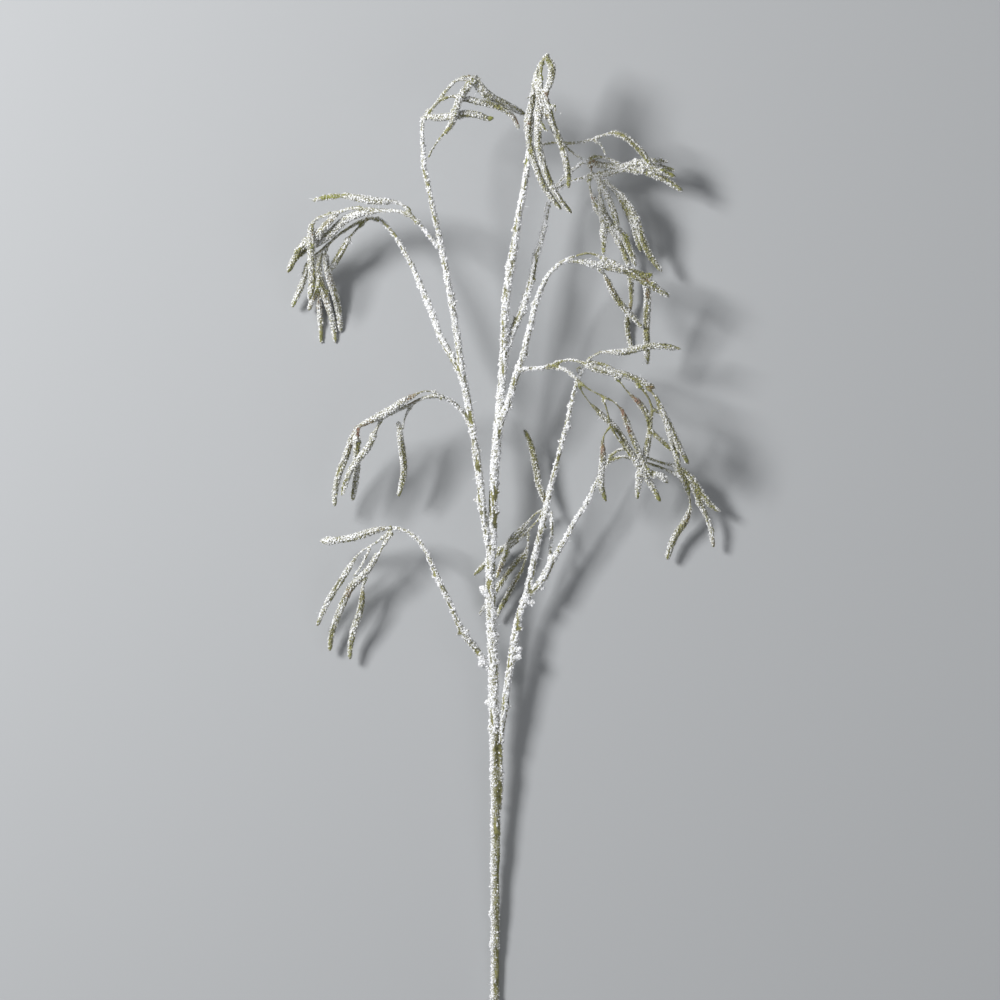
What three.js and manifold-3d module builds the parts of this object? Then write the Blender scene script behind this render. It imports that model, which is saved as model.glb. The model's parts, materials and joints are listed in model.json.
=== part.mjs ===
// A snow-flocked alder branch, cut below its lowest limb and laid on its back.
// Units are millimetres. +Y runs up the branch from the cut end, +X is to the right of the
// stem, and +Z is away from the surface that the branch lies on. Wood and catkins wear a coat
// of flock, so every width given here is measured over the flock.

import * as THREE from 'three';
import { mergeVertices } from 'three/addons/utils/BufferGeometryUtils.js';
import Module from 'manifold-3d';

const wasm = await Module();
wasm.setup();

// The kinds of strand: how far apart its rings stand, how many sides it has, how much its
// lumps of flock add to or take from its radius, how far its scales stand proud, and how far
// apart its buds are.
const TRUNK = { step: 17, sides: 7, relief: 0.16, scale: 0, buds: 46 };
const LIMB = { step: 17, sides: 6, relief: 0.16, scale: 0, buds: 45 };
const TWIG = { step: 14, sides: 5, relief: 0.16, scale: 0, buds: 40 };
const STALK = { step: 12.6, sides: 4, relief: 0.14, scale: 0, buds: 0 };
const CATKIN = { step: 14.6, sides: 6, relief: 0.1, scale: 0.42, buds: 0 };
const FEWEST_RINGS = 3;

const CATKIN_WIDTH = 7.4;
const STALK_WIDTH = 3.2;
const STALK_TAPER = 0.85;
// A catkin's width from root to tip, as shares of its widest.
const CATKIN_OUTLINE = [0.5, 0.86, 1, 1, 0.98, 0.93, 0.86, 0.74, 0.5];
const TIP_LENGTH = 1.6; // how far a catkin's blunt point stands past its last ring
const BUTT_LENGTH = 0.2; // the same for a stem or stalk

// A bud is a short cone that leans up the stem, with its root sunk well inside the wood. Those
// of the spiral are from smallest to largest of its length, and a little longer on thick wood.
const BUD = {
  sides: 5, width: 4.2, length: 5.2, sink: 0.55, lean: 0.5, hidden: 1.6, lift: 0.15,
};
const SPIRAL = { turn: Math.PI * (3 - Math.sqrt(5)), start: 0.9, end: 0.5, stray: 0.35 };
const SPIRAL_BUD = { smallest: 0.62, largest: 1.02, perWidth: 0.08 };

const ROOT_GAP = 0.36; // between a limb or bunch and the wood that carries it
const WELD = 1e-4; // points closer than this are one point
const SMALLEST_FACET = 0.1; // slivers left by the cuts, merged into their neighbours
const SEARCH_STEPS = 24;
const GROUND = { size: 3000, depth: 60 };

const FLOCKED_BARK = { color: 0xd2d5cf, roughness: 0.95, metalness: 0 };
const FLOCKED_CATKIN = { color: 0xaeb294, roughness: 0.95, metalness: 0 };

// Strands. Each is a list of points up its middle line, [right, up the branch, height].

function trunk(points, widths) {
  return { points, widths, ...TRUNK };
}

function limb(points, widths) {
  return { points, widths, ...LIMB };
}

function twig(points, widths) {
  return { points, widths, ...TWIG };
}

function stalk(points, width = STALK_WIDTH) {
  return { points, widths: [width, width * STALK_TAPER], ...STALK };
}

function catkin(points, width = CATKIN_WIDTH) {
  return { points, widths: CATKIN_OUTLINE.map((share) => share * width), ...CATKIN };
}

const mainStem = {
  name: 'main_stem',
  grounded: true,
  strands: [
    trunk([
      [0, 0, 4], [0, 50, 4.2], [0.3, 130, 10.5], [0.5, 225, 18], [-1, 300, 24], [-1.8, 353, 28],
      [-4.1, 410, 33], [-4.5, 455, 37], [-2.5, 505, 41], [-0.5, 560, 45], [4, 607, 49],
      [7, 646, 52], [9, 680, 55], [10.5, 720, 58], [14, 750, 60], [20, 785, 63], [24, 813, 65],
      [29, 839, 67], [34, 873, 70], [36.5, 900, 72.5], [37.5, 925, 75],
    ], [8.9, 8.9, 9.2, 9.8, 10.4, 10.2, 9.2, 9, 8.6, 7.4, 6.2, 4.4]),
    limb([[5, 214, 16.5], [5.2, 250, 19.5], [4.4, 282, 22]], [3.6, 6, 6.6]),
  ],
  buds: [
    [190, 1, 3.6], [169, 1, 3.2], [169, -1, 3.2], [274, 1, 4], [296, -1, 5], [321.4, -1, 5.6],
    [351, 1, 3.8], [365, 1, 4.6], [388, 1, 6], [434, -1, 10], [512, 1, 6], [532, 1, 5],
    [627, -1, 4.6], [757, 1, 4.6], [757, -1, 4.2], [796, -1, 4.2], [861, -1, 3.6],
  ],
};

const limbLeftHigh = {
  name: 'limb_left_high',
  carrier: 'main_stem',
  strands: [
    limb([
      [-3, 466, 38.5], [-7.5, 484, 41], [-13.4, 525, 47], [-15.5, 550, 50], [-20, 578, 53],
      [-24, 604, 56], [-28.5, 632, 60], [-34, 654, 63], [-35.5, 676, 66], [-39, 697, 68],
      [-46.5, 741, 74], [-50, 760, 76], [-58, 799, 80], [-61.5, 812, 82], [-65.5, 835, 85],
      [-70.5, 853, 87], [-71.8, 868, 88], [-72, 881, 90], [-73.6, 898, 92], [-72, 906, 92],
    ], [6.8, 7.8, 7.8, 7.2, 6.6, 6, 5.2, 4.2]),
    limb([
      [-33, 648, 62.5], [-45, 672, 60], [-56, 691, 58], [-62.4, 711, 57], [-72, 735, 56],
      [-81.5, 756, 54], [-91, 775, 53], [-100.6, 791, 52], [-108.6, 801, 51], [-116, 807, 50],
    ], [6.4, 6.8, 6, 5, 4.4]),
    twig([[-56.5, 777, 78.5], [-65.6, 789.6, 80], [-77, 802.4, 81]], [4.6, 4.4, 4]),
    twig([
      [-24, 599, 56], [-33, 615, 58.5], [-39.4, 621.5, 62], [-46, 626, 65], [-52, 628.5, 67],
    ], [5, 4.8, 4.2]),
  ],
  buds: [
    [524, -1, 6.6], [573, 1, 4.4], [658, 1, 4.6], [722, 1, 4.4],
  ],
};

const limbLeftLow = {
  name: 'limb_left_low',
  carrier: 'main_stem',
  strands: [
    limb([
      [-2, 352, 28], [-10.2, 363.6, 30], [-17.8, 375.4, 33], [-27.6, 386.4, 38], [-35.8, 397.6, 43],
      [-40.8, 413, 46], [-48, 428, 49], [-54.5, 441, 51], [-62, 459, 53], [-67.4, 471.5, 54],
      [-73, 481, 54.5], [-77.6, 487.6, 54], [-86.5, 495, 53], [-94, 498.2, 52], [-103, 497.8, 50],
    ], [6.4, 6.8, 6.2, 5.6, 4.6, 4]),
  ],
  buds: [[362, -1, 6.4], [391, 1, 5], [393, -1, 4.6], [450, -1, 4]],
};

const limbRightHigh = {
  name: 'limb_right_high',
  carrier: 'main_stem',
  strands: [
    limb([
      [9, 667, 54], [16.5, 692, 52], [23.8, 708, 50.5], [30, 721, 49], [33, 735, 47.5],
      [37.5, 750, 46], [39.3, 764, 44.5], [44, 778, 43], [48, 790, 42], [50.4, 805, 41],
      [54, 827, 39], [60, 837, 39], [66.5, 845.5, 39.5], [76.4, 855, 40.5], [84, 861.4, 41.5],
      [94, 866.2, 42],
    ], [7.6, 7.4, 6.4, 5.8, 5.2, 4.4, 3.6]),
    twig([
      [57, 832, 39], [68.8, 841, 38], [76.4, 845, 36.5], [84, 847.4, 35], [92, 848.6, 34],
    ], [3.8, 3.2]),
    stalk([[85, 847.2, 35], [83.4, 841.6, 36]], 2.6),
  ],
  buds: [[705, -1, 4], [714, 1, 4.2], [746, 1, 4], [729, -1, 4], [769, -1, 4]],
};

const limbRightMiddle = {
  name: 'limb_right_middle',
  carrier: 'main_stem',
  strands: [
    limb([
      [3.4, 592, 49], [8.5, 611, 54], [11.5, 618, 55.5], [17.2, 635.5, 58.5], [21.2, 652, 60],
      [27.4, 667, 62], [32.6, 690, 64], [37.5, 706, 66], [40.7, 723, 68], [45.8, 736.5, 70],
      [52, 749.6, 72], [60, 759.4, 74], [71, 765.4, 75], [80, 769, 76],
    ], [6.6, 7, 6.4, 5.8, 5, 4]),
    twig([[20, 653, 60], [30.5, 657, 62.5], [43.3, 656.8, 66], [51, 657.6, 69]], [5, 4.4]),
  ],
  buds: [[619, 1, 4.2], [719.5, -1, 4]],
};

const limbRightLow = {
  name: 'limb_right_low',
  carrier: 'main_stem',
  strands: [
    limb([
      [4.4, 279, 22.5], [7.6, 304, 24.5], [11, 330, 26], [13.9, 353, 26.4], [16.8, 374, 26.5],
      [20.2, 392, 26.7], [24.8, 413.6, 27], [30, 427.4, 27.4], [33.6, 438.6, 29], [36, 452, 31],
      [39.2, 469, 34], [43.4, 485, 37], [47.4, 500, 40], [52.6, 525, 44], [60.8, 559, 48],
      [69, 591, 52], [76.2, 620, 54], [79.2, 635, 55], [82, 645, 55.6], [86.2, 650, 56],
      [89.4, 659, 56],
    ], [7, 7.4, 7.6, 7.2, 6.4, 5.8, 5.2, 4.2, 3.6]),
    limb([
      [26.6, 421.6, 27], [40.4, 437.2, 28], [49, 448.2, 29], [59, 469, 30], [67, 480.2, 31],
      [75.2, 494.4, 32], [80, 505.8, 33], [86.8, 514.4, 33.4], [94.4, 526.8, 34], [100, 542, 34],
      [106.4, 553, 34], [112.6, 562, 34],
    ], [7.4, 7.4, 6, 5.2, 4.2, 3.6]),
    twig([[54, 464, 29.6], [56, 480, 26], [57.2, 498, 22.5], [56, 515, 20]], [4.2, 3.8]),
    stalk([[30.6, 424.4, 27.4], [35, 422.4, 27.6], [37.4, 423.8, 27.6]], 4.6),
    stalk([[43, 439.6, 28.2], [46.8, 437.4, 28.4]], 4.4),
    stalk([[49.6, 449, 29], [52.8, 446.4, 29.2]], 4),
  ],
  buds: [
    [318, 1, 4.4], [366.6, 1, 9], [374.6, 1, 8.4], [385, 1, 4.6], [396, 1, 6], [511, 1, 4.4],
    [583, -1, 4], [597, 1, 5.6], [618, -1, 4.2],
  ],
};

const apexBunch = {
  name: 'catkins_apex',
  carrier: 'main_stem',
  strands: [
    stalk([[37.6, 924, 75], [38, 936, 76.5], [40, 950, 78.5], [46, 963, 81], [53, 970.5, 83]], 4.2),
    catkin([
      [50.5, 969, 82], [56.5, 965, 85], [58.2, 953, 88], [53.6, 940.5, 90], [49.5, 930, 91],
    ], 7.8),
    catkin([
      [40, 942, 78], [37, 922, 83], [32.6, 903, 87], [34, 883, 88.5], [42.6, 852, 88], [52, 833, 86],
      [65.6, 816, 83],
    ], 7),
    catkin([
      [41, 950, 80], [44.6, 930, 88], [43, 905, 94], [42.6, 890, 95.4], [44.6, 871, 96],
      [50, 855, 95], [53.8, 844, 94], [62.6, 828, 90], [76, 812.6, 86],
    ], 7.6),
    catkin([
      [48, 934, 90], [52.6, 918, 92], [56.4, 901, 90], [64, 887, 88], [68.6, 873.5, 87],
      [72.8, 853, 86], [73.6, 838, 84],
    ], 7.4),
    stalk([[47, 963, 82], [45.5, 953, 84], [45.6, 943, 86.5], [45.4, 934, 88.6]], 5),
    catkin([[46, 928, 90], [48, 918, 92], [50.4, 907, 93]], 5),
    stalk([[38, 930, 75.6], [34, 921, 77], [31, 911, 80], [31, 900, 86]], 3),
    stalk([[44, 908, 94], [46.5, 899, 97], [52, 894, 98]], 2.4),
    stalk([[53.6, 916, 92], [60, 920, 95], [61, 916, 96], [59.6, 911, 96], [66, 911.4, 97]], 2.2),
    stalk([[39, 929.4, 83], [34, 928.4, 88], [30.6, 926, 90]], 2.2),
  ],
};

const crownLeftBunch = {
  name: 'catkins_crown_left',
  carrier: 'limb_left_high',
  strands: [
    stalk([
      [-72, 905.2, 92], [-66.4, 912.2, 93], [-59.3, 920.5, 94], [-52, 930.4, 95],
      [-45, 939.3, 95], [-37, 946.4, 95], [-27, 949, 94], [-19, 947, 92],
    ], 4.4),
    catkin([
      [-20, 947.6, 92], [-12.8, 936.4, 90], [-6.2, 929.6, 86], [4, 924.6, 80], [13, 920, 73],
      [29.6, 911, 62],
    ], 7.4),
    stalk([[-22, 942, 93], [-17.6, 936, 92], [-11, 929, 90], [-4, 924.6, 88]], 3.4),
    stalk([[-36, 945.6, 95], [-30, 944.4, 95], [-24, 943.6, 94]], 2.6),
    stalk([[-56, 924, 94.4], [-48, 928, 96], [-39, 928.6, 97]], 3.4),
    catkin([
      [-41, 928.8, 97], [-24, 925, 97], [-6, 920.5, 94], [9, 917, 90], [18, 909.6, 86],
      [23.6, 897.5, 83],
    ], 6.4),
    catkin([
      [-69, 908.6, 92.4], [-55, 907, 97], [-45, 908.4, 100], [-30, 911.4, 101], [-15, 909.8, 99],
      [-6.4, 905.4, 97],
    ], 8),
    catkin([
      [-21, 948, 93], [-28, 936, 98], [-35.4, 927.6, 104], [-38.4, 919, 107], [-41, 907, 107],
      [-44.6, 897.4, 104], [-50, 891.6, 101],
    ], 7.6),
    stalk([[-50.5, 892, 102], [-57.4, 884, 100], [-63.4, 874.6, 97], [-66.6, 867.6, 95]], 2.6),
    stalk([[-7, 905.6, 97], [-2.4, 907.4, 98]], 2.4),
  ],
};

const leftHighBunch = {
  name: 'catkins_left_high',
  carrier: 'limb_left_high',
  strands: [
    stalk([
      [-75.6, 801, 81], [-85, 810.4, 81], [-98, 814.6, 80], [-110, 815, 78], [-124, 815.4, 76],
      [-138, 817.4, 74], [-146, 817, 72], [-159, 812, 68.5], [-170, 810.4, 64.5],
      [-180.6, 806, 60.5], [-185, 798.6, 57.5],
    ], 4.6),
    stalk([[-83.6, 809, 81], [-89, 818.6, 83], [-98, 823, 84.5], [-107, 824.3, 85]], 4),
    catkin([
      [-104, 824, 85], [-115.5, 823, 86], [-127, 824.3, 86.6], [-140, 828.4, 86],
      [-152, 830, 84.6],
    ], 7.8),
    catkin([[-148, 829.8, 85], [-162, 828.6, 83], [-173, 827.4, 80.6], [-182, 824.8, 78.6]], 5.2),
    catkin([
      [-183.6, 800, 58.6], [-184.4, 781.5, 54], [-183.6, 761, 49.6], [-182.6, 740, 45],
      [-186, 726, 42],
    ], 8),
    catkin([
      [-158, 811.6, 68], [-172, 797, 57], [-180, 789, 51.6], [-189, 783.4, 48], [-201, 771.5, 45],
    ], 7.8),
    catkin([
      [-120, 813.4, 75], [-131, 812.8, 73.6], [-144, 809.6, 66], [-156, 800.6, 56], [-169, 787.6, 46.6],
      [-178, 782.4, 42], [-190, 777.6, 38.6], [-200.6, 768, 36], [-207.4, 753.6, 34],
    ], 8.6),
  ],
};

const leftHangingBunch = {
  name: 'catkins_left_hanging',
  carrier: 'limb_left_high',
  grounded: true,
  strands: [
    stalk([
      [-114.6, 806, 50], [-123, 808, 49], [-138.5, 802, 44.6], [-154, 792.6, 38.4],
      [-167, 781.4, 33], [-174.6, 774.4, 30.4], [-181, 768.6, 28.4],
    ], 4.4),
    stalk([[-166, 781, 33.2], [-169, 776, 31], [-169.8, 770, 28.6]], 2.8),
    catkin([
      [-170.4, 771, 29], [-168.6, 758, 22], [-165.6, 745, 16], [-160, 730, 10.4],
      [-156.2, 712, 4.4], [-155.6, 703, 2.6], [-155, 695, 1.4],
    ], 7.2),
    stalk([[-127, 807.4, 48.4], [-134.6, 800, 44], [-143, 791.4, 41.4], [-147, 786, 40]], 3.2),
    catkin([[-146.4, 787, 40], [-151.5, 777.6, 36.6], [-157, 769, 32], [-164.6, 755.4, 24.4]], 7.2),
    catkin([
      [-178, 770.6, 29], [-187.6, 763, 26], [-189, 752, 21], [-193.6, 740, 16.4], [-203, 719.5, 10.6],
    ], 6.4),
    catkin([
      [-174.4, 774, 30], [-177, 762, 24], [-176.6, 749, 17], [-172, 735, 11.6], [-164.8, 713, 6.4],
      [-161.4, 696, 2.5], [-159.8, 684, 1.2],
    ], 7),
    catkin([
      [-176.6, 756, 20], [-175.4, 746, 17.6], [-179, 735.6, 14.4], [-182.6, 729, 12], [-186, 716.6, 9],
    ], 6),
    catkin([
      [-176, 742, 14.6], [-177.6, 730, 10], [-175.4, 712, 4.6], [-174.6, 698, 2.5], [-174.3, 684, 1.2],
    ], 5.6),
  ],
};

const leftMiddleBunch = {
  name: 'catkins_left_middle',
  carrier: 'limb_left_high',
  strands: [
    stalk([
      [-50.4, 627.6, 66.4], [-57.6, 629.8, 68.6], [-67.4, 629.3, 70], [-76.4, 626, 70.6],
      [-84, 621.6, 70], [-93, 617, 69], [-103, 612.6, 67.4], [-118, 605.4, 64], [-132, 601.4, 60],
      [-138, 598, 58], [-143.4, 589, 55.6],
    ], 4.4),
    stalk([
      [-54, 629, 67.4], [-61, 634, 70.6], [-68.7, 635, 73], [-76.4, 632.5, 75.4], [-82, 630, 76.6],
    ], 2.8),
    catkin([
      [-79, 631, 76], [-88, 626.6, 78], [-98, 620, 78], [-109, 613, 76], [-120, 606.6, 72.6],
      [-130, 602.6, 69.4], [-136, 599.6, 66],
    ], 7.2),
    catkin([
      [-142.6, 590, 56], [-146.4, 577, 49], [-151, 565, 44], [-156, 553, 39], [-159.6, 540, 34],
      [-161, 529, 31], [-160.6, 520, 29],
    ], 7),
    catkin([
      [-138, 599, 58.4], [-138.6, 586, 56], [-138.6, 572, 52], [-138.2, 557, 47.6],
      [-140, 540, 43], [-142.4, 525.6, 40],
    ], 7),
    stalk([[-112.6, 608, 66], [-115.4, 603, 66.4], [-120, 592.6, 66.6]], 3.6),
    catkin([
      [-119.6, 595, 66.6], [-122.4, 585, 66], [-128.4, 575.6, 63.4], [-138, 565, 60],
      [-145, 555, 57], [-150, 542, 54], [-152.8, 531, 51.6],
    ], 6.8),
    stalk([[-82, 622.4, 70], [-88.6, 612.6, 66], [-91.4, 603, 61], [-92.6, 596, 58.6]], 2.8),
    catkin([
      [-96.4, 603, 60], [-95.4, 594, 57], [-94.4, 582, 51.6], [-92, 569, 46], [-90.6, 557, 41],
      [-92.8, 542.6, 36.6], [-96.4, 530, 33.6],
    ], 7),
  ],
};

const leftLowBunch = {
  name: 'catkins_left_low',
  carrier: 'limb_left_low',
  strands: [
    stalk([[-101.4, 497.6, 50.4], [-108, 497.6, 50], [-114, 496.6, 50]], 4),
    catkin([
      [-108, 497.4, 50], [-121, 495, 49.6], [-134, 490.2, 47], [-148, 486.6, 44],
      [-160, 485, 41.6], [-174.4, 484.2, 39],
    ], 7.2),
    stalk([
      [-104, 496.6, 50], [-109.6, 489, 49], [-118, 484.4, 48], [-127, 477.6, 44],
      [-136, 473, 40], [-142, 464.6, 37],
    ], 3),
    stalk([[-102.6, 493.6, 50], [-106.4, 488, 49.4], [-110.4, 481, 47]], 4.5),
    catkin([
      [-139.6, 467.4, 38], [-146, 458, 34], [-154, 445, 28.6], [-162, 433, 24], [-169.4, 420.4, 20],
      [-177.8, 400.6, 15.4],
    ], 6),
    stalk([
      [-124.6, 477, 44.6], [-129, 470, 43], [-132, 462, 41], [-135.6, 456, 38.6], [-141.4, 449, 35],
    ], 3.4),
    stalk([[-109, 489.6, 49], [-112, 479.6, 45], [-117, 469, 42], [-121, 461, 40]], 3),
    catkin([
      [-118.6, 471.6, 42.6], [-123, 461, 39.6], [-129.6, 452.6, 36.4], [-137, 446.4, 33],
      [-143.4, 440, 30.4], [-149, 430, 26.4], [-152.6, 420, 23], [-158.6, 408, 19],
      [-164.4, 388, 14], [-165.6, 375, 11.6],
    ], 7.2),
    stalk([[-128, 451.6, 36], [-132, 443, 33], [-132.6, 434, 30]], 3),
    catkin([
      [-132.2, 438, 31.4], [-133, 424, 27], [-137.4, 406.6, 22], [-142.5, 392.4, 18], [-145.2, 380, 15],
      [-145.4, 367.4, 13],
    ], 6.8),
  ],
};

const crownRightTwig = {
  name: 'twig_crown_right',
  carrier: 'main_stem',
  strands: [
    stalk([
      [34.6, 875, 70], [46, 880.8, 68.6], [56, 883, 67.6], [71, 882, 66.4], [81.5, 882.4, 65.4],
      [93, 884, 64.4], [102, 888.6, 63], [111, 891, 62.4], [119.4, 893, 62],
    ], 4),
    catkin([
      [117, 893, 62], [126, 891.6, 61.6], [134.6, 885.6, 60.6], [142, 878.8, 59.4],
      [148.8, 871, 57.6], [155.6, 861.8, 55],
    ], 6.6),
    stalk([[97, 886, 63.8], [106.6, 880.4, 61], [110.8, 870, 57]], 2.8),
    stalk([[65, 882.4, 66.8], [73, 876.6, 64], [79, 871, 61], [87, 866.4, 58]], 2.8),
  ],
};

const rightHighBunch = {
  name: 'catkins_right_high',
  carrier: 'limb_right_high',
  grounded: true,
  strands: [
    stalk([
      [92.4, 866.2, 42], [103, 869.2, 42.4], [113.4, 867.4, 42.4], [122, 862, 41.6],
      [127, 858.4, 41.4],
    ], 4.4),
    stalk([[90.6, 848.4, 34.2], [96, 849.4, 34.4], [104, 846, 36], [112, 842.4, 38]], 3.6),
    stalk([[94, 863, 41.6], [96.6, 857, 39], [96, 851, 36]], 2.6),
    catkin([
      [93, 849.4, 34.2], [107, 850.6, 37], [120, 855, 40], [133, 860, 42], [146, 863.4, 42.4],
      [171, 864, 40],
    ], 7.2),
    catkin([
      [125, 857, 41.4], [140, 855.6, 43], [154, 853.6, 43], [170, 846, 40.6], [186.6, 835, 37],
    ], 6.8),
    catkin([[146, 861, 43], [156, 858, 45], [166, 854.4, 44.6], [180, 849, 42.6]], 6.2),
    catkin([[150, 860, 40.6], [160, 859.6, 39.4], [170, 857.6, 37.6], [178.4, 855.4, 36]], 5.2),
    catkin([[92, 864.4, 42], [106, 860.6, 42.6], [125, 858.4, 41.6]], 7.2),
    stalk([[93.6, 848.6, 34.2], [94.4, 840, 33.6], [96.6, 831, 33]], 3),
    catkin([
      [97, 831, 33], [100, 821, 32.4], [106.6, 810.6, 30.6], [117, 802, 28.4], [125.8, 792.8, 26.4],
      [133.4, 781, 24], [140.4, 760.4, 20.6],
    ], 7.8),
    catkin([
      [106, 810.6, 30.4], [121.4, 789, 22.6], [129, 775, 18.4], [134, 760, 14.6], [135.8, 742, 11.6],
      [136.8, 722, 9.4],
    ], 6.4),
    catkin([
      [136.6, 726, 9.6], [133, 708, 7.6], [131.6, 696, 4], [134, 686, 2.1], [138.4, 674, 0.9],
    ], 5.8),
    catkin([
      [103, 846, 36], [109, 838, 39.6], [113.4, 827, 41.6], [118.6, 815, 41], [123, 798, 38.6],
    ], 7),
    stalk([[101, 846.6, 36], [105.6, 838.6, 37], [104.4, 828, 36.8]], 3),
    catkin([[104.4, 829, 36.6], [106.4, 820, 36.4], [110, 811, 35], [115.4, 801, 32.6]], 7),
    stalk([[112, 847, 37], [113.4, 841, 38.4], [121, 837, 40.4], [126, 831.6, 41]], 3.2),
    catkin([
      [125.4, 832.6, 41], [133, 822, 40], [140, 810, 37.6], [143.6, 800, 34.6], [146.4, 788, 31],
      [151, 776.6, 28], [157.6, 766, 25.4], [166.6, 754.4, 22.6],
    ], 7.6),
    stalk([[112.6, 842, 37.4], [118, 835.6, 36.6], [124, 828, 35.6]], 3),
    catkin([
      [123, 829.4, 35.6], [129.6, 820.6, 33.6], [135, 811.4, 31], [139.4, 799.6, 28],
      [142.4, 788, 25], [146, 775, 22],
    ], 7.4),
    catkin([[106, 812, 31], [109.4, 799, 27], [109, 787, 24.6], [108.6, 772, 22]], 5.8),
  ],
};

const rightUpperMiddleBunch = {
  name: 'catkins_right_upper_middle',
  carrier: 'limb_right_middle',
  strands: [
    stalk([
      [78.4, 768.6, 76], [86, 771.4, 76.4], [94, 772.8, 76.6], [103, 770.6, 76.4], [112, 766.4, 75.6],
      [121, 761.8, 74.4], [130, 757, 73.4],
    ], 3.2),
    stalk([[102, 769.4, 76], [108, 765.2, 75.4], [116, 760.4, 74.6]], 3.6),
    stalk([[66, 763.4, 74.8], [76, 764.2, 75.4], [86, 763.4, 75.6]], 3.4),
    catkin([
      [83, 764.4, 75.6], [91, 763, 75.4], [101, 760.6, 74.6], [110, 759.2, 74], [120, 757.4, 73.4],
      [133, 754.8, 73], [146, 751.6, 71.4], [156, 749, 70],
    ], 7.8),
    catkin([[128, 755.6, 73], [138, 749.8, 72], [146, 746.8, 71], [158, 739.8, 68.6], [173.4, 729, 64]], 7),
    stalk([[102, 759.4, 74], [107, 754, 72], [111, 748.6, 69.6]], 3),
    catkin([
      [109.6, 750, 70], [113, 743.4, 67.6], [118, 732.6, 63.6], [125, 721.6, 60],
      [136, 710.6, 56], [146.4, 698.6, 53],
    ], 6.8),
    catkin([
      [148, 750.6, 71], [151.6, 739, 66.4], [152.6, 725, 59.6], [151.4, 708, 52.6],
      [151.4, 687, 44.6], [152.4, 662, 37.6],
    ], 7.2),
  ],
};

const rightMiddleBunch = {
  name: 'catkins_right_middle',
  carrier: 'limb_right_middle',
  strands: [
    stalk([
      [49.4, 657.4, 68.6], [57, 659.6, 71], [63, 664, 73.6], [74, 665.8, 77.4], [83, 664.6, 80],
      [89.6, 661.2, 81.6],
    ], 4.2),
    catkin([
      [87, 662.6, 81], [96, 657.8, 83], [109, 654.4, 84], [123, 651.6, 84.4], [133, 650, 84],
      [141, 646.8, 83.6], [150, 641.8, 82.6], [159.4, 637.4, 81],
    ], 7.8),
    stalk([
      [50, 657.6, 69.6], [58, 659, 71.4], [65, 658, 73], [72, 655.2, 75.6], [77.6, 650.6, 77.6],
      [83, 644.4, 79], [88, 640, 80],
    ], 4.8),
    stalk([
      [86, 641.4, 79.6], [95, 635.4, 80.6], [102, 631, 80.8], [110, 628.6, 80.6],
      [118.6, 624, 79.4], [123, 620, 78], [127, 615, 76],
    ], 2.8),
    stalk([[120.6, 649.6, 84], [127.4, 639.8, 82], [133.4, 632.4, 79.6], [137.4, 628.6, 78]], 2.8),
    catkin([
      [134.8, 631.2, 79], [143.6, 624, 76], [151.4, 612.4, 71], [154.4, 605, 68], [155.4, 596, 64],
    ], 6.4),
    stalk([
      [139, 646.6, 83.6], [147, 637, 82.4], [152.6, 629.6, 80], [156.2, 621.6, 77],
      [156.8, 612, 73], [155.6, 602, 68.4], [154.4, 593, 64],
    ], 3.8),
    catkin([[155, 598, 66], [153.4, 586, 60], [151.6, 577, 56.6], [148.6, 562, 52]], 6.4),
    stalk([[156.4, 617.4, 75], [163, 613, 73.4], [168.6, 608.6, 71]], 3.2),
    catkin([
      [168.4, 609.6, 72], [172.6, 601, 69], [175, 593, 66], [177.4, 585, 62.6], [180.6, 575, 58.6],
      [184, 558, 53],
    ], 7.4),
    stalk([[148, 642, 83], [155, 635, 82.6], [160, 629, 81.4], [163.6, 621, 79.8]], 3),
    catkin([
      [160.8, 629.4, 81.2], [165.6, 617, 80.2], [170.6, 607, 78.4], [175.4, 597.4, 75.4],
      [179.8, 588, 72], [184.6, 577.6, 68], [193.2, 562, 62],
    ], 6.8),
    catkin([[154.4, 596.4, 66], [160.6, 590.6, 63.6], [166.8, 584.6, 61.4], [175.6, 575.6, 58.8]], 4.8),
    catkin([
      [127, 617, 76.6], [130.4, 606.6, 72.4], [133.8, 597.4, 69], [137, 589, 65.6],
      [140.8, 580, 61.6], [145, 569.6, 57], [150, 558.6, 53], [157.5, 547.6, 49.6],
    ], 6.4),
    stalk([
      [83, 643, 79], [86, 634.6, 75.6], [89.6, 629, 73], [95.4, 621.6, 70], [99, 617, 68],
    ], 2.8),
    catkin([
      [97.6, 620.2, 69], [104.6, 612.8, 65.6], [113.2, 604.2, 62], [121.6, 596.8, 59.6],
      [128.6, 588.4, 57.4],
    ], 6.4),
    catkin([
      [126, 592.6, 58.4], [131.8, 579.4, 55.4], [137, 569.8, 52.6], [145, 558.8, 49.4],
      [152.4, 547.6, 46.6], [158.4, 537, 44.4], [164.8, 524.4, 42.4],
    ], 7),
    stalk([
      [107, 629, 80.6], [111.2, 618.6, 76.6], [113, 608, 72], [116, 598.4, 68], [121, 589.4, 64],
      [126, 582, 61],
    ], 3),
    catkin([
      [125, 586, 62.4], [132.4, 576.4, 59], [139.4, 567.4, 56], [146, 557.4, 53], [151.6, 548.4, 50.6],
    ], 6),
    stalk([[115.6, 599, 68.4], [109.6, 592, 66], [107.4, 584, 64]], 2.8),
    catkin([
      [107.2, 585, 64.6], [107.6, 576, 61.6], [108.2, 566, 58], [105.8, 552, 53.6],
      [105.2, 541, 50.6], [110.8, 524.8, 46.6],
    ], 6.8),
    catkin([[145, 558, 50.6], [144.4, 547, 47], [142.8, 537, 44.4], [142.4, 527.4, 42.6]], 6.2),
    catkin([[153.4, 552, 50.4], [161, 551.6, 50.2], [167.4, 549, 49.6], [172.4, 543, 47.4]], 6.6),
  ],
};

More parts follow.
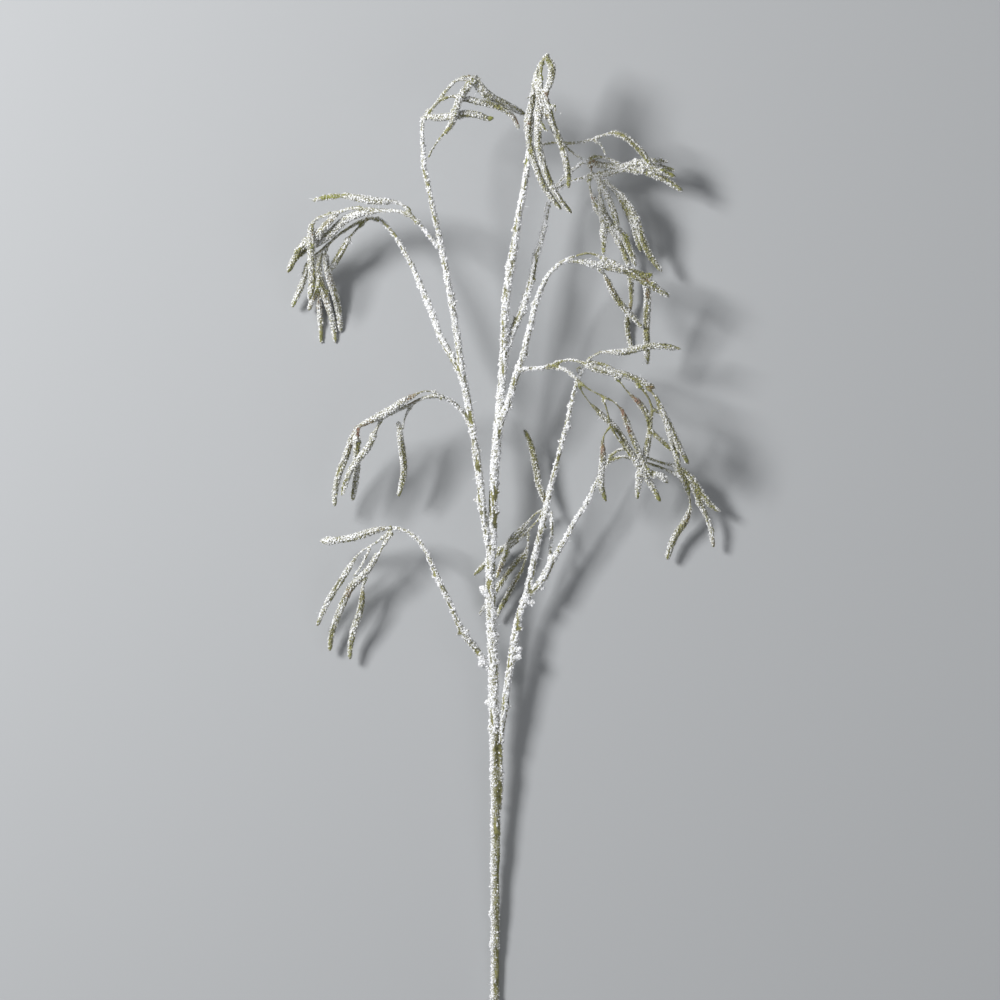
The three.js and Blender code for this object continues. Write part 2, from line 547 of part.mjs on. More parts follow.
const rightForkBunch = {
  name: 'catkins_right_fork',
  carrier: 'limb_right_low',
  strands: [
    stalk([
      [88.8, 657, 56], [91.4, 663.4, 57.4], [96, 668.6, 60], [101, 672.2, 61.4], [108, 673.6, 62],
      [116, 673.8, 62.4],
    ], 3.6),
    catkin([
      [113, 674, 62.2], [127.5, 672.8, 63], [137, 674.8, 64], [146, 678, 65], [156, 680, 65.4],
      [170, 679.2, 64.4], [183.4, 677, 62.6],
    ], 7.2),
    catkin([[92.4, 664, 58], [101, 662.6, 58], [110, 660.6, 58.6], [119, 655.4, 58.6]], 4.4),
    stalk([[88.6, 658.6, 57], [85, 658, 57.4], [81.6, 656.2, 57.6], [82.6, 652.8, 57.4]], 3.2),
  ],
};

const rightLowBunch = {
  name: 'catkins_right_low',
  carrier: 'limb_right_low',
  strands: [
    stalk([
      [112.2, 561.4, 34], [115.4, 569.8, 34.8], [120.4, 575, 36], [128, 577.6, 36.4],
      [138, 575, 35.8], [151, 568, 34.4], [161, 564.2, 33], [172, 561.4, 31.4], [183, 559.6, 30],
    ], 4.2),
    stalk([
      [114.6, 564.4, 34.4], [122, 568, 34.2], [130, 569.6, 34], [143, 565.6, 33.6],
      [154, 561.6, 32.4], [164, 559, 31.4], [173, 554.8, 30], [181, 551.2, 28.8], [188, 549, 28],
    ], 4),
    catkin([[180.6, 557.8, 30], [187.4, 549.2, 27.6], [191, 541.2, 25.6], [193.4, 534.4, 24]], 6.4),
    stalk([[192.6, 537, 24.6], [194.6, 529, 23], [195.4, 520, 21], [195, 513, 19.6]], 2.8),
    catkin([
      [195.6, 518, 20.6], [193.6, 508, 18.4], [188.2, 501, 16.4], [182.6, 493.6, 14.6],
      [177.6, 485, 12.8], [175, 476.6, 11.6], [172.4, 466.6, 10.6],
    ], 7.2),
    catkin([
      [179, 559.4, 30.4], [189.6, 554, 28.6], [198.6, 545, 26.4], [203.8, 536.4, 24.6],
      [209, 527.6, 22.8], [215.6, 519.6, 21], [225.6, 513.8, 19],
    ], 6.6),
    catkin([
      [185, 552.6, 28.4], [195.6, 543, 25.6], [200.6, 533.4, 23.4], [205.4, 521.6, 20.8],
      [210.2, 512.4, 18.6], [214.6, 503.6, 16.6], [217, 494, 14.8], [218.4, 480, 12.6],
    ], 6),
  ],
};

const backBunch = {
  name: 'catkins_back',
  carrier: 'limb_right_low',
  strands: [
    stalk([
      [56.6, 513.6, 20.4], [53.6, 518.6, 19.4], [48.6, 516, 18.6], [41, 512.6, 18], [36.4, 509, 17.6],
      [33, 503, 17],
    ], 3.2),
    stalk([[49, 516, 18.6], [44, 506, 17.4], [38, 500, 16.6], [33, 497, 16], [31, 492, 15.6]], 3),
    catkin([
      [53.2, 515.6, 19.2], [48.8, 528, 19], [43.6, 541, 19.6], [39.8, 564, 21.6], [36, 581, 23.6],
      [29.6, 595.6, 25],
    ], 6.6),
    catkin([
      [33, 496.6, 16], [25.4, 488.6, 15.4], [17, 482.2, 15], [8.6, 476.8, 14.6], [2, 472.4, 14.2],
      [-9.6, 461.4, 13], [-20.4, 451, 12],
    ], 6.6),
    catkin([[33.2, 503.6, 17], [25.8, 495.4, 18.6], [18.4, 489, 19], [12.4, 482.6, 18.6]], 5.4),
    catkin([[13, 479, 18], [9.8, 468, 17], [5.4, 458.6, 15.6], [1.6, 447.6, 14.4]], 6),
    stalk([[32.4, 498, 16.2], [33.4, 484, 14.6], [32, 471, 13.4], [27, 456, 12.4]], 2.8),
    catkin([
      [32.6, 474, 13.6], [25.4, 467, 12.6], [18.4, 460.6, 12], [11, 451, 11.4], [4, 439.2, 10.8],
      [-15.4, 411, 9.6],
    ], 6.4),
    catkin([[28, 457, 12.4], [20.4, 444.4, 11.6], [14, 433, 11], [7.8, 422.6, 10.4], [0.6, 406.4, 9.6]], 5.4),
  ],
};

const WOOD = [mainStem, limbLeftHigh, limbLeftLow, limbRightHigh, limbRightMiddle, limbRightLow];
const BUNCHES = [
  apexBunch, crownLeftBunch, leftHighBunch, leftHangingBunch, leftMiddleBunch, leftLowBunch,
  crownRightTwig, rightHighBunch, rightUpperMiddleBunch, rightMiddleBunch, rightForkBunch,
  rightLowBunch, backBunch,
];

// Small helpers: seeded chance, even interpolation, and geometry to solid and back.

function seededChance(seed) {
  let state = seed >>> 0;
  return () => {
    state = (state + 0x6d2b79f5) >>> 0;
    let mixed = Math.imul(state ^ (state >>> 15), state | 1);
    mixed ^= mixed + Math.imul(mixed ^ (mixed >>> 7), mixed | 61);
    return ((mixed ^ (mixed >>> 14)) >>> 0) / 2 ** 32;
  };
}

function seedOf(name) {
  return [...name].reduce((sum, letter) => sum * 31 + letter.charCodeAt(0), 7) % 1e9;
}

function alongList(values, share) {
  const place = share * (values.length - 1);
  const low = Math.min(Math.floor(place), values.length - 2);
  return THREE.MathUtils.lerp(values[low], values[low + 1], place - low);
}

function middleLine(strand) {
  const points = strand.points.map((point) => new THREE.Vector3(...point));
  return new THREE.CatmullRomCurve3(points, false, 'centripetal');
}

function toSolid(geometry) {
  geometry.deleteAttribute('normal');
  geometry.deleteAttribute('uv');
  const merged = mergeVertices(geometry, WELD);
  return new wasm.Manifold(new wasm.Mesh({
    numProp: 3,
    vertProperties: new Float32Array(merged.getAttribute('position').array),
    triVerts: new Uint32Array(merged.getIndex().array),
  }));
}

function toGeometry(solid) {
  const mesh = solid.getMesh();
  const geometry = new THREE.BufferGeometry();
  geometry.setAttribute('position', new THREE.BufferAttribute(mesh.vertProperties, 3));
  geometry.setIndex(new THREE.BufferAttribute(mesh.triVerts, 1));
  return geometry;
}

// The bumps of a strand's surface: chance lumps of flock, and on a catkin the scales too,
// which stand proud in one row and lie back in the next.
function surfaceOf(strand, rings, chance) {
  const rows = [];
  for (let ring = 0; ring <= rings; ring += 1) {
    const row = [];
    for (let side = 0; side < strand.sides; side += 1) {
      const proud = (ring + side) % 2 === 0 ? 1 : -1;
      row.push({ lump: 1 + strand.relief * (chance() * 2 - 1), scale: proud * strand.scale });
    }
    rows.push(row);
  }
  return rows;
}

// Which side of a cylinder a point of it is on, counted round from +Z.
function sideAt(spot, sides) {
  const turn = Math.atan2(spot.x, spot.z) / (2 * Math.PI);
  return (Math.round(turn * sides) + sides) % sides;
}

// A closed cylinder bent along the strand's middle line, with its width and its bumps.
// grow makes it fatter and longer all round.
function strandSolid(strand, chance, grow) {
  const line = middleLine(strand);
  const rings = Math.max(FEWEST_RINGS, Math.round(line.getLength() / strand.step));
  const frames = line.computeFrenetFrames(rings, false);
  const surface = surfaceOf(strand, rings, chance);
  const tip = strand.scale > 0 ? TIP_LENGTH : BUTT_LENGTH;
  const geometry = new THREE.CylinderGeometry(1, 1, 1, strand.sides, rings);
  const position = geometry.getAttribute('position');
  const spot = new THREE.Vector3();
  for (let i = 0; i < position.count; i += 1) {
    spot.fromBufferAttribute(position, i);
    const share = 0.5 - spot.y;
    const ring = Math.round(share * rings);
    const onAxis = Math.hypot(spot.x, spot.z) < 0.5;
    const bump = surface[ring][sideAt(spot, strand.sides)];
    const width = alongList(strand.widths, share);
    const radius = onAxis ? 0 : (width / 2) * bump.lump + bump.scale + grow;
    const end = Number(ring === rings) - Number(ring === 0);
    const place = line.getPointAt(ring / rings);
    place.addScaledVector(frames.tangents[ring], end * (grow + (onAxis ? tip : 0)));
    place.addScaledVector(frames.normals[ring], spot.x * radius);
    place.addScaledVector(frames.binormals[ring], spot.z * radius);
    position.setXYZ(i, place.x, place.y, place.z);
  }
  return toSolid(geometry);
}

// One bud: a cone whose root is sunk in the wood at a share of the way up the strand. It
// leaves the wood in the outward direction given, and leans towards the tip.
function budSolid(strand, line, share, outward, length, grow) {
  const tangent = line.getTangentAt(share);
  const across = outward.clone().addScaledVector(tangent, -outward.dot(tangent)).normalize();
  const direction = across.clone().addScaledVector(tangent, BUD.lean).normalize();
  const radius = alongList(strand.widths, share) / 2;
  const width = BUD.width * (length / BUD.length);
  const height = length + grow * 3;
  const cone = new THREE.ConeGeometry(width / 2 + grow, height, BUD.sides);
  cone.translate(0, height / 2 - grow, 0);
  const up = new THREE.Vector3(0, 1, 0);
  cone.applyQuaternion(new THREE.Quaternion().setFromUnitVectors(up, direction));
  const root = line.getPointAt(share).addScaledVector(across, radius * BUD.sink);
  cone.translate(root.x, root.y, root.z);
  return toSolid(cone);
}

// Buds in a spiral round the strand, each a golden angle on from the last.
function spiralBuds(strand, chance, grow) {
  const line = middleLine(strand);
  const length = line.getLength();
  const step = strand.buds;
  const solids = [];
  let turn = chance() * Math.PI * 2;
  for (let along = step * SPIRAL.start; along < length - step * SPIRAL.end; along += step) {
    const share = (along + (chance() - 0.5) * step * SPIRAL.stray) / length;
    turn += SPIRAL.turn;
    const tangent = line.getTangentAt(share);
    const start = new THREE.Vector3(0, 0, 1).cross(tangent).normalize();
    const outward = start.applyAxisAngle(tangent, turn);
    const size = THREE.MathUtils.lerp(SPIRAL_BUD.smallest, SPIRAL_BUD.largest, chance());
    const extra = alongList(strand.widths, share) * SPIRAL_BUD.perWidth;
    solids.push(budSolid(strand, line, share, outward, BUD.length * size + extra, grow));
  }
  return solids;
}

// The share of the way along a strand at which it stands this far up the branch.
function shareAtHeight(line, up) {
  let low = 0;
  let high = 1;
  for (let step = 0; step < SEARCH_STEPS; step += 1) {
    const middle = (low + high) / 2;
    if (line.getPointAt(middle).y < up) low = middle;
    else high = middle;
  }
  return low;
}

// The larger buds that stand out at the sides of a limb's first strand: [how far up the
// branch, right (1) or left (-1), length outside the wood].
function sideBuds(parts, grow) {
  const strand = parts.strands[0];
  const line = middleLine(strand);
  return (parts.buds ?? []).map(([up, side, length]) => {
    const outward = new THREE.Vector3(side, 0, BUD.lift);
    return budSolid(strand, line, shareAtHeight(line, up), outward, length + BUD.hidden, grow);
  });
}

// All the strands and buds of one node, fused.
function fused(parts, grow) {
  const chance = seededChance(seedOf(parts.name));
  const solids = parts.strands.map((strand) => strandSolid(strand, chance, grow));
  for (const strand of parts.strands.filter((each) => each.buds > 0)) {
    solids.push(...spiralBuds(strand, chance, grow));
  }
  solids.push(...sideBuds(parts, grow));
  return solids.reduce((whole, solid) => whole.add(solid));
}

function belowGround() {
  const slab = new THREE.BoxGeometry(GROUND.size, GROUND.size, GROUND.depth);
  slab.translate(0, 0, -GROUND.depth / 2);
  return toSolid(slab);
}

function largestBody(solid) {
  const bodies = solid.decompose();
  return bodies.reduce((best, body) => (body.volume() > best.volume() ? body : best));
}

// A limb or bunch, cut back from the wood that carries it, and flat where it lies on the ground.
function seated(parts, carrier) {
  let solid = fused(parts, 0);
  if (carrier) solid = solid.subtract(fused(carrier, ROOT_GAP));
  if (parts.grounded) solid = solid.subtract(belowGround());
  return largestBody(solid.simplify(SMALLEST_FACET));
}

function meshOf(parts, byName, finish) {
  const mesh = new THREE.Mesh(
    toGeometry(seated(parts, byName.get(parts.carrier))),
    new THREE.MeshStandardMaterial(finish),
  );
  mesh.name = parts.name;
  return mesh;
}

// The branch stands with the middle of its box over the origin and its lowest points at zero.
function centred(branch) {
  const box = new THREE.Box3().setFromObject(branch, true);
  const middle = box.getCenter(new THREE.Vector3());
  branch.position.set(-middle.x, -middle.y, -box.min.z);
  return branch;
}

const byName = new Map(WOOD.map((parts) => [parts.name, parts]));
const branch = new THREE.Group();
for (const parts of WOOD) branch.add(meshOf(parts, byName, FLOCKED_BARK));
for (const parts of BUNCHES) branch.add(meshOf(parts, byName, FLOCKED_CATKIN));

const group = centred(branch);

export default group;
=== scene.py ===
"""Snow-flocked alder branch: its bark, its catkins' scales and its coat of flock.

Each solid of the frame is replaced by finer pieces of the same form. A copy of its mesh becomes
a smooth core, lifted where the flock lies thick. Crumbs, tufts and fibres of flock stand on that
core, and the catkins are clad in scales. Lengths are metres, +Z is up and +Y runs up the branch.
"""

import json
import logging
import math
from collections.abc import Iterator
from contextlib import contextmanager
from dataclasses import dataclass, replace
from enum import Enum, IntEnum

import bpy
import numpy as np
from bpy.types import Material, Mesh, Node, NodeTree, Object
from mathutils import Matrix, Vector, noise
from mathutils.bvhtree import BVHTree

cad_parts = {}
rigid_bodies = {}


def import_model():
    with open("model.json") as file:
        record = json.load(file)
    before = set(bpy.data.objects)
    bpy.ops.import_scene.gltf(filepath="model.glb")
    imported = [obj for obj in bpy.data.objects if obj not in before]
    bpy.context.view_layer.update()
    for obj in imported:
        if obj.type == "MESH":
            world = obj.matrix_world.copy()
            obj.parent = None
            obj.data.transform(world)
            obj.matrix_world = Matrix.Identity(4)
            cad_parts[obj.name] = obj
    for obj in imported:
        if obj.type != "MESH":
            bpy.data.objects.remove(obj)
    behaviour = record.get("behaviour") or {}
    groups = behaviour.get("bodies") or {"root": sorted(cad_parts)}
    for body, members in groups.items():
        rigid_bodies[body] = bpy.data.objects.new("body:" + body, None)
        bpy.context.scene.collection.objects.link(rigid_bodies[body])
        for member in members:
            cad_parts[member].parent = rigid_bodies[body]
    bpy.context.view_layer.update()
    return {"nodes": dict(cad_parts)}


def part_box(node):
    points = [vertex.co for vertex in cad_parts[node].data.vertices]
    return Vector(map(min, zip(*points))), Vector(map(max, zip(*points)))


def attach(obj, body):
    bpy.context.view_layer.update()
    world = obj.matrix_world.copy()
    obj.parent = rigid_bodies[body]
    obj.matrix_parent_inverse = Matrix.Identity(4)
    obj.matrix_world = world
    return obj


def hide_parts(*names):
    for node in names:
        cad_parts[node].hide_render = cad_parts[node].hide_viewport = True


Colour = tuple[float, float, float]
Place = tuple[float, float, float]
Span = tuple[float, float]
Inputs = dict[str | int, object]
Values = np.ndarray
Socket = bpy.types.NodeSocket

MM = 0.001
TURN = 2 * math.pi
BODY = "root"
BARK_SLOT = "flocked_bark"
CATKIN_SLOT = "flocked_catkin"
STEM = "main_stem"
FLOOR_GAP = 0.05 * MM

WELD = 0.001 * MM  # points of a solid that are nearer than this become one
INSET = 0.05 * MM  # a strand's thickness is measured from this far inside it
LEAST_STEP = 0.01 * MM  # keeps a rise from being divided by nothing
THICKNESS_ROUNDS = 6
RISE_ROUNDS = 4
AXIS_ROUNDS = 10
NOISE_SHIFT = (7.31, 3.17, 5.73)
SEEDS = 997
CROWDING = 2.0  # places tried for each copy, before the least distance thins them
GLOSS = 0.3

log = logging.getLogger("alder")


class Stain(Enum):
    """What a patch does to the part of the branch that it covers."""

    SNOW = "more flock"
    BARE = "less flock"
    DUST = "flock rubbed thin"
    CLUMP = "a lump of flock"
    BLUSH = "red-brown scales"
    GREEN = "fresh olive green"


class Draw(IntEnum):
    """What each seed of a node is for, as a step from the node's first."""

    PITS = 1
    FINE = 2
    KINDS = 3
    WARMTH = 4
    SCALES = 5
    BROAD = 6
    FIBRES = 9


@dataclass(frozen=True)
class Patch:
    """A stretch of one node that looks unlike the rest of it, in millimetres seen from above."""

    stain: Stain
    x: float
    y: float
    radius: float
    amount: float = 1.0

    def weights(self, points: Values) -> Values:
        """How strongly the patch acts on each point.

        Args:
            points: Places of the points, one row each.

        Returns:
            The amount at the patch's centre, fading to nothing outside its radius.
        """
        apart = np.hypot(points[:, 0] - self.x * MM, points[:, 1] - self.y * MM)
        return self.amount * np.exp(-((apart / (self.radius * MM)) ** 2))


Spot = tuple[float, ...]


def patches(**spots: list[Spot]) -> tuple[Patch, ...]:
    """Patches by stain, each from its x, y, radius and, if it isn't 1, its amount."""
    stains = [(Stain[name.upper()], rows) for name, rows in spots.items()]
    return tuple(Patch(stain, *spot) for stain, rows in stains for spot in rows)


def column(x: float, heights: range, radius: float, amount: float) -> list[Spot]:
    """Spots in a row up the branch."""
    return [(x, y, radius, amount) for y in heights]


def give(thing: object, settings: dict[str, object]) -> None:
    """Sets a node's or a modifier's settings, in order."""
    for name, value in settings.items():
        setattr(thing, name, value)


# Materials


@dataclass(frozen=True)
class FlockFinish:
    """Matt flock fibre: cool white with grey spots, and olive-grey where it is rubbed thin; the
    spots and the olive-grey are partly painted shade in the pits between its lumps.
    """

    white: Colour = (0.9, 0.905, 0.92)
    # The grey spots are partly painted shade in the pits of the flock.
    grey: Colour = (0.56, 0.56, 0.56)
    # The thin colour is thin flock over olive, and in the pits it is also painted shade.
    thin: Colour = (0.37, 0.365, 0.295)
    spot: float = 1.6 * MM
    spots: Span = (0.55, 0.75)
    roughness: float = 0.96
    sheen: float = 0.12


@dataclass(frozen=True)
class BarkFinish:
    """Olive bark and stalk that shows between the flock."""

    light: Colour = (0.29, 0.28, 0.105)
    dark: Colour = (0.12, 0.115, 0.045)
    blush: Colour = (0.25, 0.135, 0.1)
    green: Colour = (0.26, 0.275, 0.055)
    streak: float = 5 * MM
    streaks: Span = (0.35, 0.65)
    roughness: float = 0.62


@dataclass(frozen=True)
class Cling:
    """How flock clings: on the ground, on the tips of scales, and how it breaks up.

    The even value of flock is the one at which the ground is neither bare nor covered.
    """

    ground: float = 0.9
    tips: float = 0.0
    even: float = 0.35
    # The width of the small pits in the flock, whose thin colour is partly painted shade.
    pit: float = 1.3 * MM
    ragged: float = 1.2
    thin: Span = (-0.12, 0.06)
    thick: Span = (0.3, 0.5)


@dataclass(frozen=True)
class CutFinish:
    """The pale sawn face of the stem's lower end, and where its dark pith is."""

    pith: Colour = (0.35, 0.2, 0.1)
    wood: Colour = (0.62, 0.46, 0.28)
    fade: Span = (0.4 * MM, 1.8 * MM)
    across: float = -9.0 * MM
    height: float = 6 * MM
    roughness: float = 0.7


@dataclass(frozen=True)
class Grit:
    """A fine relief that is only shaded: its lumps' width, its depth and its strength."""

    size: float
    depth: float
    strength: float
    detail: float = 3.0


FRESH = FlockFinish()
# Its grey spots, like FRESH's, are partly painted shade in the pits of the flock.
DUSTY = FlockFinish(white=(0.84, 0.84, 0.83), grey=(0.46, 0.46, 0.39))
CATKIN_CLING = Cling(ground=0.65, tips=0.6, ragged=1.4)
COAT_GRIT = Grit(0.5 * MM, 0.25 * MM, 0.6)
CRUMB_GRIT = Grit(0.4 * MM, 0.2 * MM, 0.5)
CUT_GRIT = Grit(0.6 * MM, 0.1 * MM, 0.5, detail=2.0)


class Wiring:
    """A tree whose nodes are added one by one."""

    def __init__(self, tree: NodeTree) -> None:
        """Keeps the tree that the nodes go into."""
        self.tree = tree

    def add(self, kind: str, inputs: Inputs | None = None, **settings: object) -> Node:
        """Adds a node.

        Args:
            kind: Its type.
            inputs: What feeds it, if anything does.
            settings: Its settings, which are made before it is fed.

        Returns:
            The node.
        """
        node = self.tree.nodes.new(kind)
        give(node, settings)
        self.fill(node, inputs or {})
        return node

    def fill(self, node: Node, inputs: Inputs) -> None:
        """Feeds some inputs of a node, each found by its name or its place."""
        for name, source in inputs.items():
            self.feed(node.inputs[name], source)

    def feed(self, target: Socket, source: object) -> None:
        """Links a socket into another, or sets it to a plain value."""
        if isinstance(source, Socket):
            self.tree.links.new(source, target)
        elif target.type == "RGBA":
            target.default_value = (*source, 1.0)
        else:
            target.default_value = source


class Skin(Wiring):
    """A material and its nodes."""

    def __init__(self, name: str) -> None:
        """Makes the material with its shader.

        Args:
            name: The material's name.
        """
        self.material = bpy.data.materials.new(name)
        self.material.use_nodes = True
        super().__init__(self.material.node_tree)
        self.shader = self.tree.nodes["Principled BSDF"]
        self.place = self.add("ShaderNodeTexCoord").outputs["Object"]

    def grain(self, size: float, detail: float = 2.0) -> Socket:
        """Noise, 0 to 1, with lumps of the size given and some finer layers."""
        inputs = {"Vector": self.place, "Scale": 1 / size, "Detail": detail}
        return self.add("ShaderNodeTexNoise", inputs).outputs["Fac"]

    def carried(self, name: str) -> Socket:
        """The value that the mesh carries under a name."""
        return self.add("ShaderNodeAttribute", attribute_name=name).outputs["Fac"]

    def sums(self, how: str, first: Socket | float, second: Socket | float) -> Socket:
        """Two numbers added, multiplied and so on."""
        return self.add("ShaderNodeMath", {0: first, 1: second}, operation=how).outputs[0]

    def step(self, value: Socket, low: float, high: float) -> Socket:
        """A soft step from 0 at the low value to 1 at the high one."""
        inputs = {"Value": value, "From Min": low, "From Max": high}
        node = self.add("ShaderNodeMapRange", inputs, interpolation_type="SMOOTHSTEP")
        return node.outputs["Result"]

    def mix(self, share: Socket, first: Socket | Colour, second: Socket | Colour) -> Socket:
        """One colour turning into another as the share goes from 0 to 1."""
        node = self.add("ShaderNodeMix", {"Factor": share}, data_type="RGBA")
        low, high = [socket for socket in node.inputs if socket.enabled and socket.name in "AB"]
        self.feed(low, first)
        self.feed(high, second)
        return next(socket for socket in node.outputs if socket.enabled)

    def blend(self, share: Socket, first: float, second: float) -> Socket:
        """One number turning into another as the share goes from 0 to 1."""
        inputs = {"Value": share, "To Min": first, "To Max": second}
        return self.add("ShaderNodeMapRange", inputs).outputs["Result"]

    def bumps(self, grit: Grit) -> None:
        """Gives the surface a fine relief."""
        height = self.grain(grit.size, grit.detail)
        inputs = {"Distance": grit.depth, "Strength": grit.strength, "Height": height}
        self.fill(self.shader, {"Normal": self.add("ShaderNodeBump", inputs).outputs["Normal"]})

    def finish(
        self, colour: Socket | Colour, roughness: Socket | float, sheen: float,
        gloss: float = GLOSS,
    ) -> None:
        """Feeds the shader its colour and how it takes the light."""
        self.fill(self.shader, {"Base Color": colour, "Roughness": roughness})
        self.fill(self.shader, {"Sheen Weight": sheen, "Specular IOR Level": gloss})


def flock_colour(skin: Skin, flock: FlockFinish) -> Socket:
    """The flock's white, with grey spots that are partly uneven flock and partly painted shade in
    its pits.
    """
    # Painted shade, in part: grey spots in the flock's white stand for shade in its pits.
    return skin.mix(skin.step(skin.grain(flock.spot), *flock.spots), flock.white, flock.grey)


def bark_colour(skin: Skin, bark: BarkFinish) -> Socket:
    """Olive bark with darker streaks, and the stains that the mesh carries."""
    streaks = skin.step(skin.grain(bark.streak, detail=4.0), *bark.streaks)
    olive = skin.mix(streaks, bark.dark, bark.light)
    stained = skin.mix(skin.carried("green"), olive, bark.green)
    return skin.mix(skin.carried("blush"), stained, bark.blush)


def coated_skin(
    name: str, bark: BarkFinish, flock: FlockFinish, cling: Cling
) -> Material:
    """Bark or scales under flock, which lies where the mesh's flock value is high.

    Args:
        name: The material's name.
        bark: What is under the flock.
        flock: The flock.
        cling: How the flock clings to it.

    Returns:
        The material.
    """
    skin = Skin(name)
    above = skin.sums("SUBTRACT", skin.carried("flock"), cling.even)
    ground = skin.sums("MULTIPLY", above, cling.ground)
    tips = skin.sums("MULTIPLY", skin.carried("tip"), cling.tips)
    # Painted shade, in part: the specks thin the flock in small pits, which then show the thin
    # flock's colour.
    specks = skin.blend(skin.grain(cling.pit), -cling.ragged, cling.ragged)
    amount = skin.sums("ADD", skin.sums("ADD", ground, tips), specks)
    thin_coat_and_pit_shade = skin.mix(skin.step(amount, *cling.thin), bark_colour(skin, bark), flock.thin)
    cover = skin.step(amount, *cling.thick)
    colour = skin.mix(cover, thin_coat_and_pit_shade, flock_colour(skin, flock))
    skin.bumps(COAT_GRIT)
    skin.finish(colour, skin.blend(cover, bark.roughness, flock.roughness), flock.sheen)
    return skin.material


def crumb_skin(name: str, flock: FlockFinish) -> Material:
    """Loose flock."""
    skin = Skin(name)
    skin.bumps(CRUMB_GRIT)
    skin.finish(flock_colour(skin, flock), flock.roughness, flock.sheen)
    return skin.material


def cut_skin(name: str, cut: CutFinish, foot: Place) -> Material:
    """Sawn wood, darker round its pith, at the end whose lowest corner is given."""
    skin = Skin(name)
    pith = (cut.across, foot[1], foot[2] + cut.height)
    apart = skin.add("ShaderNodeVectorMath", {0: skin.place, 1: pith}, operation="DISTANCE")
    outside = skin.step(apart.outputs["Value"], *cut.fade)
    skin.bumps(CUT_GRIT)
    skin.finish(skin.mix(outside, cut.pith, cut.wood), cut.roughness, 0.0)
    return skin.material


# Meshes


def pick(piece: Object) -> None:
    """Selects one object alone and makes it the active one."""
    bpy.ops.object.select_all(action="DESELECT")
    piece.select_set(True)
    bpy.context.view_layer.objects.active = piece


@contextmanager
def editing() -> Iterator[None]:
    """Opens the whole active mesh for editing, and closes it afterwards."""
    bpy.ops.object.mode_set(mode="EDIT")
    bpy.ops.mesh.select_all(action="SELECT")
    yield
    bpy.ops.object.mode_set(mode="OBJECT")


def modify(piece: Object, name: str, kind: str, **settings: object) -> None:
    """Adds a modifier with the settings given."""
    give(piece.modifiers.new(name, kind), settings)


def apply_all(piece: Object) -> None:
    """Applies every modifier of a piece, in order."""
    pick(piece)
    for modifier in list(piece.modifiers):
        bpy.ops.object.modifier_apply(modifier=modifier.name)


def copy_of(source: Object, name: str) -> Object:
    """A new object with a mesh of its own, like the source's."""
    piece = bpy.data.objects.new(name, source.data.copy())
    piece.data.name = name
    bpy.context.scene.collection.objects.link(piece)
    return piece


def smoothstep(values: Values, low: float, high: float) -> Values:
    """0 below the low value, 1 above the high one, and soft in between."""
    share = np.clip((values - low) / (high - low), 0, 1)
    return share * share * (3 - 2 * share)


def join(first: Object, second: Object) -> None:
    """Makes the second piece part of the first."""
    pick(first)
    second.select_set(True)
    bpy.ops.object.join()


def rank(values: Values) -> Values:
    """Each value's place among all of them, 0 to 1."""
    places = np.empty(len(values))
    places[np.argsort(values)] = np.arange(len(values)) / len(values)
    return places


def triangles(piece: Object) -> int:
    """How many triangles a piece has."""
    piece.data.calc_loop_triangles()
    return len(piece.data.loop_triangles)


def shade(piece: Object, smooth: bool) -> None:
    """Shades a piece as round, or as faceted."""
    faces = piece.data.polygons
    faces.foreach_set("use_smooth", [smooth] * len(faces))


def search_tree(mesh: Mesh) -> BVHTree:
    """A search tree of a mesh's faces."""
    points = [vertex.co for vertex in mesh.vertices]
    return BVHTree.FromPolygons(points, [tuple(face.vertices) for face in mesh.polygons])


